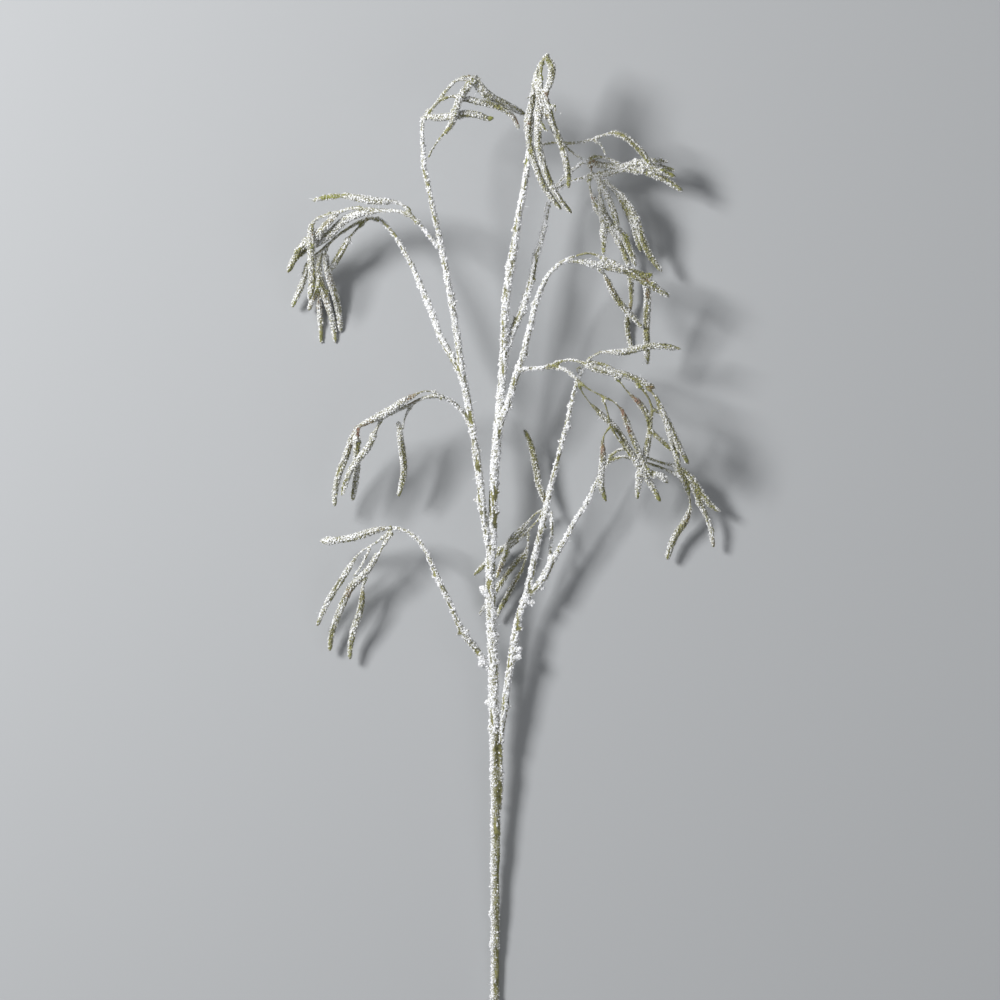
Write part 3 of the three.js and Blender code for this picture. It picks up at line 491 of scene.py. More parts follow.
class Surface:
    """A mesh's points, normals and edges as arrays, and what can be told from them."""

    def __init__(self, mesh: Mesh) -> None:
        """Reads the mesh.

        Args:
            mesh: A closed mesh.
        """
        self.mesh = mesh
        self.count = len(mesh.vertices)
        self.points = self.read(mesh.vertices, "co")
        self.normals = self.read(mesh.vertices, "normal")
        edges = np.empty(len(mesh.edges) * 2, np.int32)
        mesh.edges.foreach_get("vertices", edges)
        self.edges = edges.reshape(-1, 2)

    @staticmethod
    def read(items: bpy.types.bpy_prop_collection, what: str) -> Values:
        """Three numbers of each item, a row each."""
        flat = np.empty(len(items) * 3, np.float32)
        items.foreach_get(what, flat)
        return flat.reshape(-1, 3).astype(float)

    def gather(self, to_first: Values, to_second: Values) -> Values:
        """The sum at each point of what its edges bring to their first and second ends."""
        first, second = self.edges.T
        at_first = np.bincount(first, to_first, self.count)
        return at_first + np.bincount(second, to_second, self.count)

    def spread(self, values: Values, rounds: int) -> Values:
        """Averages each point's value with its neighbours', a number of times."""
        first, second = self.edges.T
        near = np.bincount(self.edges.ravel(), minlength=self.count)
        for _ in range(rounds):
            values = (values + self.gather(values[second], values[first])) / (1 + near)
        return values

    @staticmethod
    def wander(spots: Values, seed: int) -> Values:
        """Smooth noise at the places given, -1 to 1."""
        shift = Vector([seed * step for step in NOISE_SHIFT])
        return np.array([noise.noise(Vector(spot) + shift) for spot in spots.tolist()])

    def lumps(self, size: float, seed: int) -> Values:
        """Noise with lumps of the size given, -1 to 1."""
        return self.wander(self.points / size, seed)

    def streaks(self, root: Vector, length: float, turns: float, seed: int) -> Values:
        """Noise that is drawn out along the strands.

        Args:
            root: Where the strands start.
            length: How long a streak is.
            turns: How often it changes on the way round a strand.
            seed: The seed of the noise.

        Returns:
            Its values, -1 to 1.
        """
        along = np.linalg.norm(self.points - np.array(root), axis=1) / length / math.sqrt(3)
        return self.wander(self.normals * turns + along[:, None], seed)

    def rise(self, values: Values, axes: Values) -> Values:
        """How fast a value grows along each point's strand, for each unit of length."""
        first, second = self.edges.T
        step = np.einsum("ij,ij->i", self.points[second] - self.points[first], axes[first])
        gain = (values[second] - values[first]) * step
        total = self.spread(self.gather(gain, gain), RISE_ROUNDS)
        weight = self.spread(self.gather(step**2, step**2), RISE_ROUNDS)
        return total / (weight + LEAST_STEP**2)

    def bulge(self, near: int, far: int) -> Values:
        """How far each point stands out, more than the strand around it does."""
        calm = np.stack([self.spread(row, near) for row in self.points.T], axis=1)
        out = np.einsum("ij,ij->i", self.points - calm, self.normals)
        return out - self.spread(out, far)

    def thickness(self) -> Values:
        """How far it is from each point to the other side of its strand."""
        tree = search_tree(self.mesh)
        inside = self.points - self.normals * INSET
        deep = []
        for spot, normal in zip(inside.tolist(), self.normals.tolist()):
            hit = tree.ray_cast(Vector(spot), -Vector(normal))
            deep.append(hit[3] if hit[0] else 0.0)
        return self.spread(np.array(deep), THICKNESS_ROUNDS)

    def strand_axes(self, root: Vector) -> Values:
        """The way that each point's strand runs, away from the root.

        Args:
            root: Where the bunch leaves the wood.

        Returns:
            A row of three numbers for each point, of length 1.
        """
        tensor = np.empty((self.count, 3, 3))
        for row in range(3):
            for other in range(row, 3):
                product = self.normals[:, row] * self.normals[:, other]
                tensor[:, row, other] = self.spread(product, AXIS_ROUNDS)
                tensor[:, other, row] = tensor[:, row, other]
        axes = np.linalg.eigh(tensor)[1][:, :, 0]
        outward = self.points - np.array(root)
        away = np.einsum("ij,ij->i", axes, outward)
        return axes * np.where(away < 0, -1.0, 1.0)[:, None]

    def move(self, lift: Values, floor: float) -> None:
        """Moves each point along its normal, and never below the floor."""
        self.points += self.normals * lift[:, None]
        self.points[:, 2] = np.maximum(self.points[:, 2], floor)
        self.mesh.vertices.foreach_set("co", self.points.astype(np.float32).ravel())
        self.mesh.update()

    def carry(self, name: str, values: Values) -> None:
        """Stores a value, or three, for each point under a name."""
        kind = "FLOAT" if values.ndim == 1 else "FLOAT_VECTOR"
        slot = "value" if values.ndim == 1 else "vector"
        layer = self.mesh.attributes.new(name, kind, "POINT")
        layer.data.foreach_set(slot, values.astype(np.float32).ravel())


# Scattering


@dataclass(frozen=True)
class Sowing:
    """How small shapes are spread: their least distance, where, how large and how askew."""

    gap: float
    weight: str
    sizes: Span
    tilt: float
    along: str | None = None


class Spread(Wiring):
    """The nodes that spread small shapes over a mesh."""

    def __init__(self, name: str) -> None:
        """Makes a tree that takes a mesh and gives one back."""
        super().__init__(bpy.data.node_groups.new(name, "GeometryNodeTree"))
        for way in ("INPUT", "OUTPUT"):
            self.tree.interface.new_socket(
                "Geometry", in_out=way, socket_type="NodeSocketGeometry"
            )

    def carried(self, name: str, kind: str) -> Socket:
        """The value that the mesh carries under a name."""
        node = self.add("GeometryNodeInputNamedAttribute", {"Name": name}, data_type=kind)
        return next(out for out in node.outputs if out.enabled and out.name == "Attribute")

    def chance(self, kind: str, low: float | Place, high: float | Place, seed: int) -> Socket:
        """A random number or vector for each copy, between two values."""
        node = self.add("FunctionNodeRandomValue", {"Seed": seed}, data_type=kind)
        least, most = [s for s in node.inputs if s.enabled and s.name in ("Min", "Max")]
        self.feed(least, low)
        self.feed(most, high)
        return next(out for out in node.outputs if out.enabled)

    def turned(self, spots: Node, sowing: Sowing, seed: int) -> Socket:
        """Each copy's rotation: up along the normal, then tilted by chance."""
        tilt, spin, upright = sowing.tilt, TURN, spots.outputs["Rotation"]
        if sowing.along is not None:
            spin = tilt
            lines = {0: spots.outputs["Normal"], 1: self.carried(sowing.along, "FLOAT_VECTOR")}
            axes = {"primary_axis": "Z", "secondary_axis": "Y"}
            upright = self.add("FunctionNodeAxesToRotation", lines, **axes).outputs[0]
        low, high = (-tilt, -tilt, -spin), (tilt, tilt, spin)
        lean = {0: upright, 1: self.chance("FLOAT_VECTOR", low, high, seed + 1)}
        return self.add("FunctionNodeRotateRotation", lean, rotation_space="LOCAL").outputs[0]


class Scatter:
    """Copies of some small shapes, spread evenly over a surface as real geometry."""

    def __init__(
        self, name: str, tray: "ShapeTray", material: Material, smooth: bool
    ) -> None:
        """Keeps the shapes.

        Args:
            name: What is spread, in plain words.
            tray: The shapes to pick from.
            material: Their finish.
            smooth: Whether they are shaded as round shapes.
        """
        self.name = name
        self.shapes = tray.shapes
        self.material = material
        self.smooth = smooth

    def tree(self, sowing: Sowing, seed: int) -> NodeTree:
        """The nodes that spread the shapes.

        Args:
            sowing: How they are spread.
            seed: The seed of the random places.

        Returns:
            The finished node tree.
        """
        nodes = Spread(self.name)
        places = {
            "Mesh": nodes.add("NodeGroupInput").outputs[0],
            "Distance Min": sowing.gap,
            "Density Max": CROWDING / sowing.gap**2,
            "Density Factor": nodes.carried(sowing.weight, "FLOAT"),
            "Seed": seed,
        }
        spots = nodes.add(
            "GeometryNodeDistributePointsOnFaces", places, distribute_method="POISSON"
        )
        kinds = {"Collection": self.shapes, "Separate Children": True, "Reset Children": True}
        copies = nodes.add("GeometryNodeInstanceOnPoints", {
            "Points": spots.outputs["Points"],
            "Instance": nodes.add("GeometryNodeCollectionInfo", kinds).outputs[0],
            "Pick Instance": True,
            "Rotation": nodes.turned(spots, sowing, seed),
            "Scale": nodes.chance("FLOAT", *sowing.sizes, seed),
        })
        real = nodes.add("GeometryNodeRealizeInstances", {0: copies.outputs[0]})
        nodes.add("NodeGroupOutput", {0: real.outputs[0]})
        return nodes.tree

    def over(
        self, ground: Object, name: str, sowing: Sowing, seed: int
    ) -> Object:
        """Spreads the shapes over the ground given, as a piece that stays above the floor."""
        piece = copy_of(ground, name)
        modify(piece, self.name, "NODES", node_group=self.tree(sowing, seed))
        apply_all(piece)
        surface = Surface(piece.data)
        surface.move(np.zeros(surface.count), FLOOR_GAP)
        piece.data.materials.clear()
        piece.data.materials.append(self.material)
        shade(piece, self.smooth)
        return piece


class ShapeTray:
    """The small shapes that are modelled once and copied."""

    def __init__(self, name: str) -> None:
        """Makes an empty tray.

        Args:
            name: The collection's name.
        """
        self.shapes = bpy.data.collections.new(name)

    def keep(self, name: str) -> Object:
        """Moves the shape just made into the tray, under a name."""
        shape = bpy.context.object
        shape.name = name
        for collection in list(shape.users_collection):
            collection.objects.unlink(shape)
        self.shapes.objects.link(shape)
        return shape

    def clear(self) -> None:
        """Throws the shapes away once they have been copied."""
        for shape in list(self.shapes.objects):
            bpy.data.objects.remove(shape)
        bpy.data.collections.remove(self.shapes)


@dataclass(frozen=True)
class FlockShapes:
    """The ragged crumbs of flock and its pointed tufts."""

    crumbs: int = 4
    crumb_sides: int = 5
    crumb_radius: float = 0.95 * MM
    crumb_rough: float = 0.5 * MM
    tufts: int = 3
    tuft_sides: int = 4
    tuft_radius: float = 0.62 * MM
    tuft_length: float = 2.4 * MM
    tuft_rough: float = 0.22 * MM

    def tray(self) -> ShapeTray:
        """Models each shape once."""
        tray = ShapeTray("flock shapes")
        for index in range(self.crumbs):
            bpy.ops.mesh.primitive_uv_sphere_add(
                segments=self.crumb_sides, ring_count=2, radius=self.crumb_radius
            )
            roughen(self.crumb_rough, index)
            tray.keep(f"crumb {index}")
        for index in range(self.tufts):
            bpy.ops.mesh.primitive_cone_add(
                vertices=self.tuft_sides, radius1=self.tuft_radius, radius2=0,
                depth=self.tuft_length,
            )
            roughen(self.tuft_rough, self.crumbs + index)
            tray.keep(f"tuft {index}")
        return tray


@dataclass(frozen=True)
class FlockThread:
    """A loose curved fibre of flock that stands off the branch."""

    kinds: int = 3
    sides: int = 3
    cuts: int = 2
    length: float = 7.0 * MM
    root: float = 0.42 * MM
    end: float = 0.22 * MM
    rough: float = 0.15 * MM
    bend: float = 2.4 * MM
    more: float = 0.4

    def tray(self) -> ShapeTray:
        """Models a few fibres, each bent another way."""
        tray = ShapeTray("thread shapes")
        for index in range(self.kinds):
            bpy.ops.mesh.primitive_cone_add(
                vertices=self.sides, radius1=self.root, radius2=self.end, depth=self.length,
                location=(0.0, 0.0, self.length / 2),
            )
            bpy.ops.object.transform_apply(location=True)
            with editing():
                bpy.ops.mesh.subdivide(number_cuts=self.cuts)
            roughen(self.rough, index)
            shape = tray.keep(f"thread {index}")
            for vertex in shape.data.vertices:
                share = vertex.co.z / self.length
                vertex.co.x += self.bend * share**2 * (1 + self.more * index)
                vertex.co.y += self.bend * share * (1 - share) * (index - 1)
        return tray


def roughen(reach: float, seed: int) -> None:
    """Moves each corner of the active shape a little way by chance."""
    with editing():
        bpy.ops.transform.vertex_random(offset=reach, seed=seed)


@dataclass(frozen=True)
class CatkinScale:
    """One scale: a shield whose root is sunk, and whose rounded end is lifted to the tip."""

    length: float = 3.3 * MM
    width: float = 2.8 * MM
    height: float = 1.2 * MM
    lift: float = 0.36
    overhang: float = 0.5 * MM
    raised: float = 0.1
    edge: Span = (0.15, 0.42)

    def tray(self) -> ShapeTray:
        """Models the scale, and marks how near each of its points is to its lifted end."""
        tray = ShapeTray("scale shapes")
        bpy.ops.mesh.primitive_ico_sphere_add(subdivisions=1, radius=0.5)
        with editing():
            bpy.ops.transform.resize(value=(self.width, self.length, self.height))
            bpy.ops.transform.rotate(
                value=-self.lift, orient_axis="X", center_override=(0.0, 0.0, 0.0)
            )
            bpy.ops.transform.translate(value=(0.0, self.overhang, self.raised * self.height))
        shape = tray.keep("scale")
        surface = Surface(shape.data)
        reach = (surface.points[:, 1] - self.overhang) / self.length
        surface.carry("tip", smoothstep(reach, *self.edge))
        return tray


# The branch


@dataclass(frozen=True)
class Coat:
    """How the flock lies on a node: how much of it, where, and how thick.

    The share is what lies outside the bare streaks, whose edges fade. Pits break through
    that, and snow mends them. A pit lacks the hollow's share of flock, so it sinks and shows
    the thin flock's olive-grey, which is partly painted shade. A dusty stretch lacks the
    dust's share. The depth has fine and broad waves about its level. A bud is what rises above
    a strand that is calmed by the first number of rounds, and evened out over the second.
    """

    share: float = 0.9
    edge: float = 0.14
    pits: float = 0.3
    hollow: float = 0.45
    dust: float = 0.6
    strays: float = 0.08
    side: Place = (-0.3, 0.0, 1.0)
    lean: float = 0.05
    # Less flock on faces turned up, so outlines stay whiter than the middle: painted rim light.
    crown: float = 0.1
    streak: float = 15 * MM
    turns: float = 1.6
    lump: float = 2.0 * MM
    depth: float = 0.85 * MM
    spike: float = 1.1 * MM
    spikes: float = 0.16
    bud: float = 0.7 * MM
    clump: float = 2.2 * MM
    mend: float = 0.5
    pit_edge: float = 0.2
    level: float = 0.7
    fine: float = 0.7
    fine_lump: float = 1.6 * MM
    broad: float = 0.6
    broad_lump: float = 2.7 * MM
    bud_rounds: tuple[int, int] = (8, 30)
    bud_rise: Span = (0.15 * MM, 0.5 * MM)


@dataclass
class FlockedNode:
    """One solid of the frame, dressed: a core with its coat, and crumbs of flock on it."""

    name: str
    coat: Coat = Coat()
    patches: tuple[Patch, ...] = ()
    grid: float = 1.0 * MM
    inflate: float = -0.3 * MM
    sowing: Sowing = Sowing(gap=1.6 * MM, weight="loose", sizes=(0.55, 1.5), tilt=0.9)
    fibres: Sowing = Sowing(gap=26 * MM, weight="flock", sizes=(0.3, 0.8), tilt=0.7)
    slot: str = BARK_SLOT

    @property
    def seed(self) -> int:
        """A seed of the node's own, from its name."""
        return sum(ord(letter) * place for place, letter in enumerate(self.name, 1)) % SEEDS

    def core(self, source: Object) -> Object:
        """A smooth, evenly divided copy of the frame's solid."""
        piece = copy_of(source, f"{self.name}_core")
        pick(piece)
        with editing():
            bpy.ops.mesh.remove_doubles(threshold=WELD)
        modify(piece, "rounded", "SUBSURF", levels=2, render_levels=2)
        modify(piece, "fuller", "DISPLACE", mid_level=0, strength=self.inflate)
        modify(piece, "even", "REMESH", mode="VOXEL", voxel_size=self.grid)
        modify(piece, "calm", "SMOOTH", factor=0.5, iterations=3)
        apply_all(piece)
        piece.data.materials.clear()
        return piece

    def root(self, source: Object, kit: "Kit") -> Vector:
        """The place from which the node's strands grow."""
        return Vector(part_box(STEM)[0])

    def stain(self, surface: Surface, stain: Stain) -> Values:
        """How strongly the patches of one stain act on each point, 0 to 1."""
        total = np.zeros(surface.count)
        for patch in self.patches:
            if patch.stain is stain:
                total += patch.weights(surface.points)
        return np.clip(total, 0, 1)

    def shares(self, surface: Surface) -> Values:
        """The share of each place that the flock takes, outside the bare streaks."""
        return np.full(surface.count, self.coat.share)

    def cover(self, surface: Surface, root: Vector) -> Values:
        """Where the flock lies, 0 to 1, so that it takes its share of each place."""
        coat = self.coat
        side = np.array(coat.side) / np.linalg.norm(coat.side)
        snow = self.stain(surface, Stain.SNOW) + self.stain(surface, Stain.CLUMP)
        share = self.shares(surface) + snow - self.stain(surface, Stain.BARE)
        share += coat.lean * (surface.normals @ side)
        # Painted rim light: faces turned up lose flock, so each strand's outline reads whiter.
        share -= coat.crown * np.maximum(surface.normals[:, 2], 0) ** 2
        streaks = rank(surface.streaks(root, coat.streak, coat.turns, self.seed))
        pits = rank(surface.lumps(coat.lump, self.seed + Draw.PITS))
        whole = smoothstep(share - streaks, -coat.edge, coat.edge)
        solid = 1 + coat.mend * snow - coat.pits
        filled = smoothstep(solid - pits, -coat.pit_edge, coat.pit_edge)
        left = 1 - coat.dust * self.stain(surface, Stain.DUST)
        # Pits keep less flock: they sink, and their thin colour is partly painted shade.
        return whole * left * (1 - coat.hollow * (1 - filled))

    def relief(self, surface: Surface, cover: Values) -> Values:
        """How far each point is lifted: the coat's depth, its lumps and its spikes."""
        coat = self.coat
        chance = np.random.default_rng(self.seed)
        lumps = coat.level + coat.fine * surface.lumps(coat.fine_lump, self.seed + Draw.FINE)
        lumps += coat.broad * surface.lumps(coat.broad_lump, self.seed + Draw.BROAD)
        spiky = chance.random(surface.count) < coat.spikes + self.ruff(surface)
        spikes = spiky * chance.random(surface.count) * coat.spike
        bud = smoothstep(surface.bulge(*coat.bud_rounds), *coat.bud_rise) * coat.bud
        clump = self.stain(surface, Stain.CLUMP) * coat.clump
        return cover * (coat.depth * lumps + spikes + bud + clump)

    def ruff(self, surface: Surface) -> Values:
        """Where more spikes stand than elsewhere."""
        return np.zeros(surface.count)

    def colour(self, surface: Surface) -> None:
        """Gives the mesh its stains."""
        surface.carry("blush", self.stain(surface, Stain.BLUSH))
        surface.carry("green", self.stain(surface, Stain.GREEN))

    def dress(self, source: Object, kit: "Kit") -> list[Object]:
        """Makes the node's pieces.

        Args:
            source: The frame's solid.
            kit: The shapes and materials that all nodes share.

        Returns:
            The pieces, the core first.
        """
        core = self.core(source)
        surface = Surface(core.data)
        root = self.root(source, kit)
        cover = self.cover(surface, root)
        surface.move(self.relief(surface, cover), FLOOR_GAP)
        surface.carry("flock", cover)
        surface.carry("loose", np.clip(cover + self.coat.strays, 0, 1))
        self.colour(surface)
        shade(core, smooth=True)
        core.data.materials.append(kit.bark)
        crumbs = kit.crumbs[self.slot].over(core, f"{self.name}_flock", self.sowing, self.seed)
        seed = self.seed + Draw.FIBRES
        threads = kit.threads.over(core, f"{self.name}_threads", self.fibres, seed)
        join(crumbs, threads)
        return [core, crumbs]

    def fit(self, pieces: list[Object]) -> None:
        """Tells the frame what the pieces stand for."""
        for piece in pieces:
            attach(piece, BODY)
            log.info("%s: %d triangles", piece.name, triangles(piece))
        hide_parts(self.name)


@dataclass
class Stem(FlockedNode):
    """The main stem, sawn flat at its lower end."""

    trim: float = 1.3 * MM
    clean: float = 0.3 * MM
    facing: float = -0.9

    @property
    def cut(self) -> float:
        """How far up the branch the saw went through the stem."""
        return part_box(self.name)[0][1] + self.trim

    def core(self, source: Object) -> Object:
        """The stem's core, with its rounded end cut off."""
        piece = super().core(source)
        plane = {"plane_co": (0.0, self.cut, 0.0), "plane_no": (0.0, 1.0, 0.0)}
        with editing():
            bpy.ops.mesh.bisect(**plane, use_fill=True, clear_inner=True)
        return piece

    def shares(self, surface: Surface) -> Values:
        """No flock lies on the sawn end."""
        above = surface.points[:, 1] > self.cut + self.clean
        return np.where(above, self.coat.share, -1.0)

    def dress(self, source: Object, kit: "Kit") -> list[Object]:
        """Makes the stem's pieces, and gives its sawn end, one face of many corners, its look."""
        pieces = super().dress(source, kit)
        core = pieces[0]
        core.data.materials.append(kit.cut)
        for face in core.data.polygons:
            if face.normal.y < self.facing and len(face.vertices) > 4:
                face.material_index = 1
                face.use_smooth = False
        return pieces


@dataclass
class Bunch(FlockedNode):
    """A bunch of catkins on their stalks, with scales on the catkins."""

    carrier: str = ""
    stalk_share: float = 0.9
    slot: str = CATKIN_SLOT
    grid: float = 0.9 * MM
    inflate: float = -0.05 * MM
    sowing: Sowing = Sowing(gap=1.85 * MM, weight="loose", sizes=(0.35, 1.05), tilt=0.9)
    scaling: Sowing = Sowing(
        gap=2.0 * MM, weight="clad", sizes=(0.75, 1.05), tilt=0.2, along="axis"
    )
    thin: float = 3.2 * MM
    thick: float = 4.1 * MM
    kinds: float = 28 * MM
    steep: float = 0.5
    blunt: float = 1.6 * MM
    full: float = 0.4 * MM
    variety: float = 0.4
    foot_more: float = 0.15
    tip_less: float = 0.1
    ruffed: float = 0.35
    calm: int = 3
    warmth: Span = (0.1, 0.35)

    def root(self, source: Object, kit: "Kit") -> Vector:
        """The place where the bunch leaves the wood that carries it."""
        wood = search_tree(kit.nodes[self.carrier].data)
        nearest = min(source.data.vertices, key=lambda vertex: wood.find_nearest(vertex.co)[3])
        return nearest.co.copy()

    def study(self, surface: Surface, root: Vector) -> None:
        """Tells stalks from catkins, and a catkin's foot from its tip."""
        thickness = surface.thickness()
        self.axes = surface.strand_axes(root)
        rise = surface.rise(thickness, self.axes)
        swelling = surface.spread(rise, self.calm) / self.steep
        self.clad = smoothstep(thickness, self.thin, self.thick)
        self.foot = np.clip(swelling, 0, 1)
        self.tip = np.clip(-swelling, 0, 1)

    def cover(self, surface: Surface, root: Vector) -> Values:
        """Where the flock lies, which differs between stalk, catkin, foot and tip."""
        self.study(surface, root)
        return super().cover(surface, root)

    def shares(self, surface: Surface) -> Values:
        """Stalks and tips have less flock, and no two catkins have the same."""
        share = self.stalk_share + (self.coat.share - self.stalk_share) * self.clad
        share += self.variety * surface.lumps(self.kinds, self.seed + Draw.KINDS)
        return share + self.foot_more * self.foot - self.tip_less * self.tip

    def ruff(self, surface: Surface) -> Values:
        """A catkin's foot has a ruff of spikes."""
        return self.ruffed * self.foot

    def relief(self, surface: Surface, cover: Values) -> Values:
        """Catkins end blunt, and are fuller at the foot."""
        lift = super().relief(surface, cover)
        return lift + self.blunt * self.tip + self.full * self.foot

    def colour(self, surface: Surface) -> None:
        """Adds red-brown feet and green tips to the stains, and what the scales follow."""
        warm = smoothstep(surface.lumps(self.kinds, self.seed + Draw.WARMTH), *self.warmth)
        blush = self.foot * warm + self.stain(surface, Stain.BLUSH)
        surface.carry("blush", np.clip(blush, 0, 1))
        surface.carry("green", np.clip(self.tip + self.stain(surface, Stain.GREEN), 0, 1))
        surface.carry("clad", self.clad)
        surface.carry("axis", self.axes)

    def dress(self, source: Object, kit: "Kit") -> list[Object]:
        """Makes the bunch's pieces, its scales among them."""
        core, crumbs = super().dress(source, kit)
        core.data.materials[0] = kit.catkin
        seed = self.seed + Draw.SCALES
        scales = kit.scales.over(core, f"{self.name}_scales", self.scaling, seed)
        return [core, crumbs, scales]


@dataclass
class Kit:
    """What all nodes share: the frame's solids, the materials and the small shapes."""

    nodes: dict[str, Object]
    bark: Material
    catkin: Material
    cut: Material
    crumbs: dict[str, Scatter]
    threads: Scatter
    scales: Scatter


# What looks unlike the rest on each node, as it was seen in the photo

STEM_PATCHES = patches(
    dust=column(-7, range(-470, -190, 4), 4, 0.7),
    snow=[
        # The snow rows along both edges of the stem are painted rim light: they whiten its outline.
        *column(-2, range(-466, -200, 4), 1.6, 0.4), *column(-12.5, range(-466, -200, 4), 2.2, 0.5),
        *column(-3.5, range(-145, -121, 6), 2.5, 0.5), *column(-13, range(-145, -121, 6), 2, 0.4),
    ],
    bare=[
        *column(-6.5, range(-470, -215, 5), 4, 0.12), *column(-6.5, range(-446, -408, 5), 3.5, 0.45),
        *column(-6.5, range(-352, -322, 5), 3.5, 0.4), *column(-4.5, range(-262, -212, 4), 2.5, 0.5),
        *column(-7.8, range(-143, -123, 4), 1.4, 0.6),
        (-13.5, -43, 3.5, 0.6), (-10.5, 30, 4.5, 0.5), (-11, 42, 5, 0.5), (24, 377, 7, 0.6),
        (-6.6, -192.6, 3, 0.5), (-6.2, -209.4, 3.5, 0.5), (-8, 45, 10, 0.25), (-8, 20, 10, 0.25),
    ],
    clump=[
        (-4, -375, 2, 0.5), (-12.5, -374, 3.5), (-11, -406, 4), (-10, -459, 4), (-18, -162, 3.5),
        (-4, -97, 3, 0.7), (-21, -52, 4, 0.8),
    ],
    green=[(24, 377, 8, 0.7)],
)

LEFT_HIGH_PATCHES = patches(
    snow=[(-98, 322, 8, 0.4)],
    bare=[
        (-76, 355, 4, 0.6), (-75, 346, 3, 0.5), (-69.5, 320, 3.5, 0.6), (-68, 312, 3, 0.5),
        (-109, 306, 3, 0.5), (-102.5, 292, 3.5, 0.5), (-18, 8, 4, 0.5), (-22, 26, 5, 0.5),
        (-25.5, 74, 5, 0.5), (-30, 98, 5, 0.5), (-32.5, 122, 5, 0.5),
    ],
)

LEFT_LOW_PATCHES = patches(
    bare=[
        (-27.2, -111.5, 3.5, 0.7), (-50, -83, 3, 0.6), (-56.5, -66, 3, 0.6), (-62, -49, 3, 0.6),
        (-68, -33, 3, 0.6),
    ],
    clump=[(-23, -121.5, 4, 0.8), (-35, -92, 2.5, 0.8)],
)

RIGHT_LOW_PATCHES = patches(
    bare=[
        (6.5, -127.5, 2.5, 0.6), (5.5, -136, 2.5, 0.4), (4.6, -162, 3, 0.6), (3.2, -172, 3, 0.5),
        (14.5, -88, 3, 0.6), (55.5, 84, 4, 0.6),
    ],
    clump=[
        (18, -109, 4.5), (17.5, -117, 4), (29, -63, 3.5, 0.8), (38, -48, 3, 0.8),
        (69.5, 114.5, 3, 0.9),
    ],
)

WOOD = (
    Stem(STEM, patches=STEM_PATCHES),
    FlockedNode("limb_left_high", Coat(side=(1.0, 0.0, 0.3), lean=0.1), LEFT_HIGH_PATCHES),
    FlockedNode("limb_left_low", patches=LEFT_LOW_PATCHES),
    FlockedNode("limb_right_high"),
    FlockedNode("limb_right_middle"),
    FlockedNode("limb_right_low", patches=RIGHT_LOW_PATCHES),
)

# Its crown of 0.32 is painted rim light: catkins keep less flock on faces turned up.
CATKIN_COAT = Coat(
    share=0.9, edge=0.24, pits=0.35, lump=1.8 * MM, side=(-0.7, 0.5, 0.3), lean=0.2, crown=0.32,
    streak=24 * MM, turns=1.1, depth=0.45 * MM, spikes=0.12, spike=0.9 * MM,
)

HEAVY_COAT = replace(CATKIN_COAT, share=1.0)
LIGHT_COAT = replace(CATKIN_COAT, share=0.8)

APEX_PATCHES = patches(
    bare=[
        (65, 355, 5, 0.5), (52, 339, 7, 0.4), (36.5, 467, 4, 0.6), (41.9, 445, 2.5, 0.6),
        (23.6, 415.9, 2.5, 0.6), (42.7, 424.3, 2.5, 0.6), (28.2, 406.7, 2, 0.6),
        (25.1, 386, 4, 0.5), (60.3, 392.2, 3, 0.5),
    ],
    blush=[(41.9, 445, 3), (23.6, 415.9, 3)],
    green=[(37, 464, 6, 0.8), (41.8, 422, 4, 0.8)],
)

CROWN_LEFT_PATCHES = patches(
    bare=[(-3, 434, 7, 0.4), (-56, 408, 5, 0.5)],
    blush=[(9, 423.5, 4), (13, 417.5, 4)],
)

LEFT_OUTER_PATCHES = patches(
    snow=[
        *((x, 440 + x, 6, 0.8) for x in range(-118, -92, 6)),
        *((x, 322, 5, 0.6) for x in range(-150, -105, 6)),
    ],
    bare=[
        (-206, 288, 7, 0.5), (-177, 341.5, 6, 0.6), (-167, 341.8, 5, 0.6), (-170.5, 319, 3, 0.5),
    ],
    green=[(-177, 341.5, 7), (-167, 341.8, 5)],
)

LEFT_HANGING_PATCHES = patches(
    bare=[(-209.8, 237.9, 6, 0.5)],
    clump=[(-177, 283, 3, 0.7), (-156.7, 298.8, 3, 0.7)],
    blush=[(-173.2, 261, 6), (-183.9, 234.3, 9)],
    green=[(-209.8, 237.9, 8), (-186.6, 252.1, 5)],
)

RIGHT_MIDDLE_PATCHES = patches(
    snow=[
        *((x, 187, 7, 0.8) for x in range(50, 86, 6)),
        (57, 172, 6, 0.8), (64, 169, 6, 0.8), (71, 163, 6, 0.8), (137, 58, 7, 0.9),
        (157, 64, 6, 0.8), (96, 71, 6, 0.5),
    ],
    bare=[
        (132, 160, 4, 0.6), (146, 155, 4, 0.5), (93, 131, 4, 0.7), (150, 66, 4, 0.4),
        (132.3, 139.9, 4, 0.5), (145.6, 120, 5, 0.7), (143.5, 98, 5, 0.6),
        (154.8, 137.8, 4, 0.6), (132.8, 160.3, 2.5, 0.6), (177.2, 67.4, 4, 0.5),
        (120.5, 128, 5, 0.4), (127, 111.5, 5, 0.4),
    ],
    clump=[(101, 139.5, 2.5, 0.8), (149.4, 102, 2, 0.8)],
    blush=[
        (120.1, 127.7, 6), (127.2, 111.3, 6), (132.3, 139.9, 6), (99.1, 89.9, 5),
        (146.6, 152.2, 4, 0.6),
    ],
)

LEFT_MIDDLE_PATCHES = patches(
    bare=[(-94, 142, 6, 0.3), (-141, 112, 7, 0.4), (-98, 76, 5, 0.5)],
    clump=[(-108, 116, 3, 0.7), (-131, 104, 3, 0.7), (-148, 101, 3, 0.7)],
    blush=[(-94, 142, 7, 0.8), (-146, 108, 5), (-136, 115, 6)],
)

LEFT_BUNCH_PATCHES = patches(
    bare=[(-141, -57, 5, 0.5), (-143.5, -70, 4, 0.5), (-173, -103, 7, 0.5)],
    clump=[(-175, -1, 5, 0.7)],
    blush=[(-155, -53, 5, 0.8), (-138, -12, 3)],
)

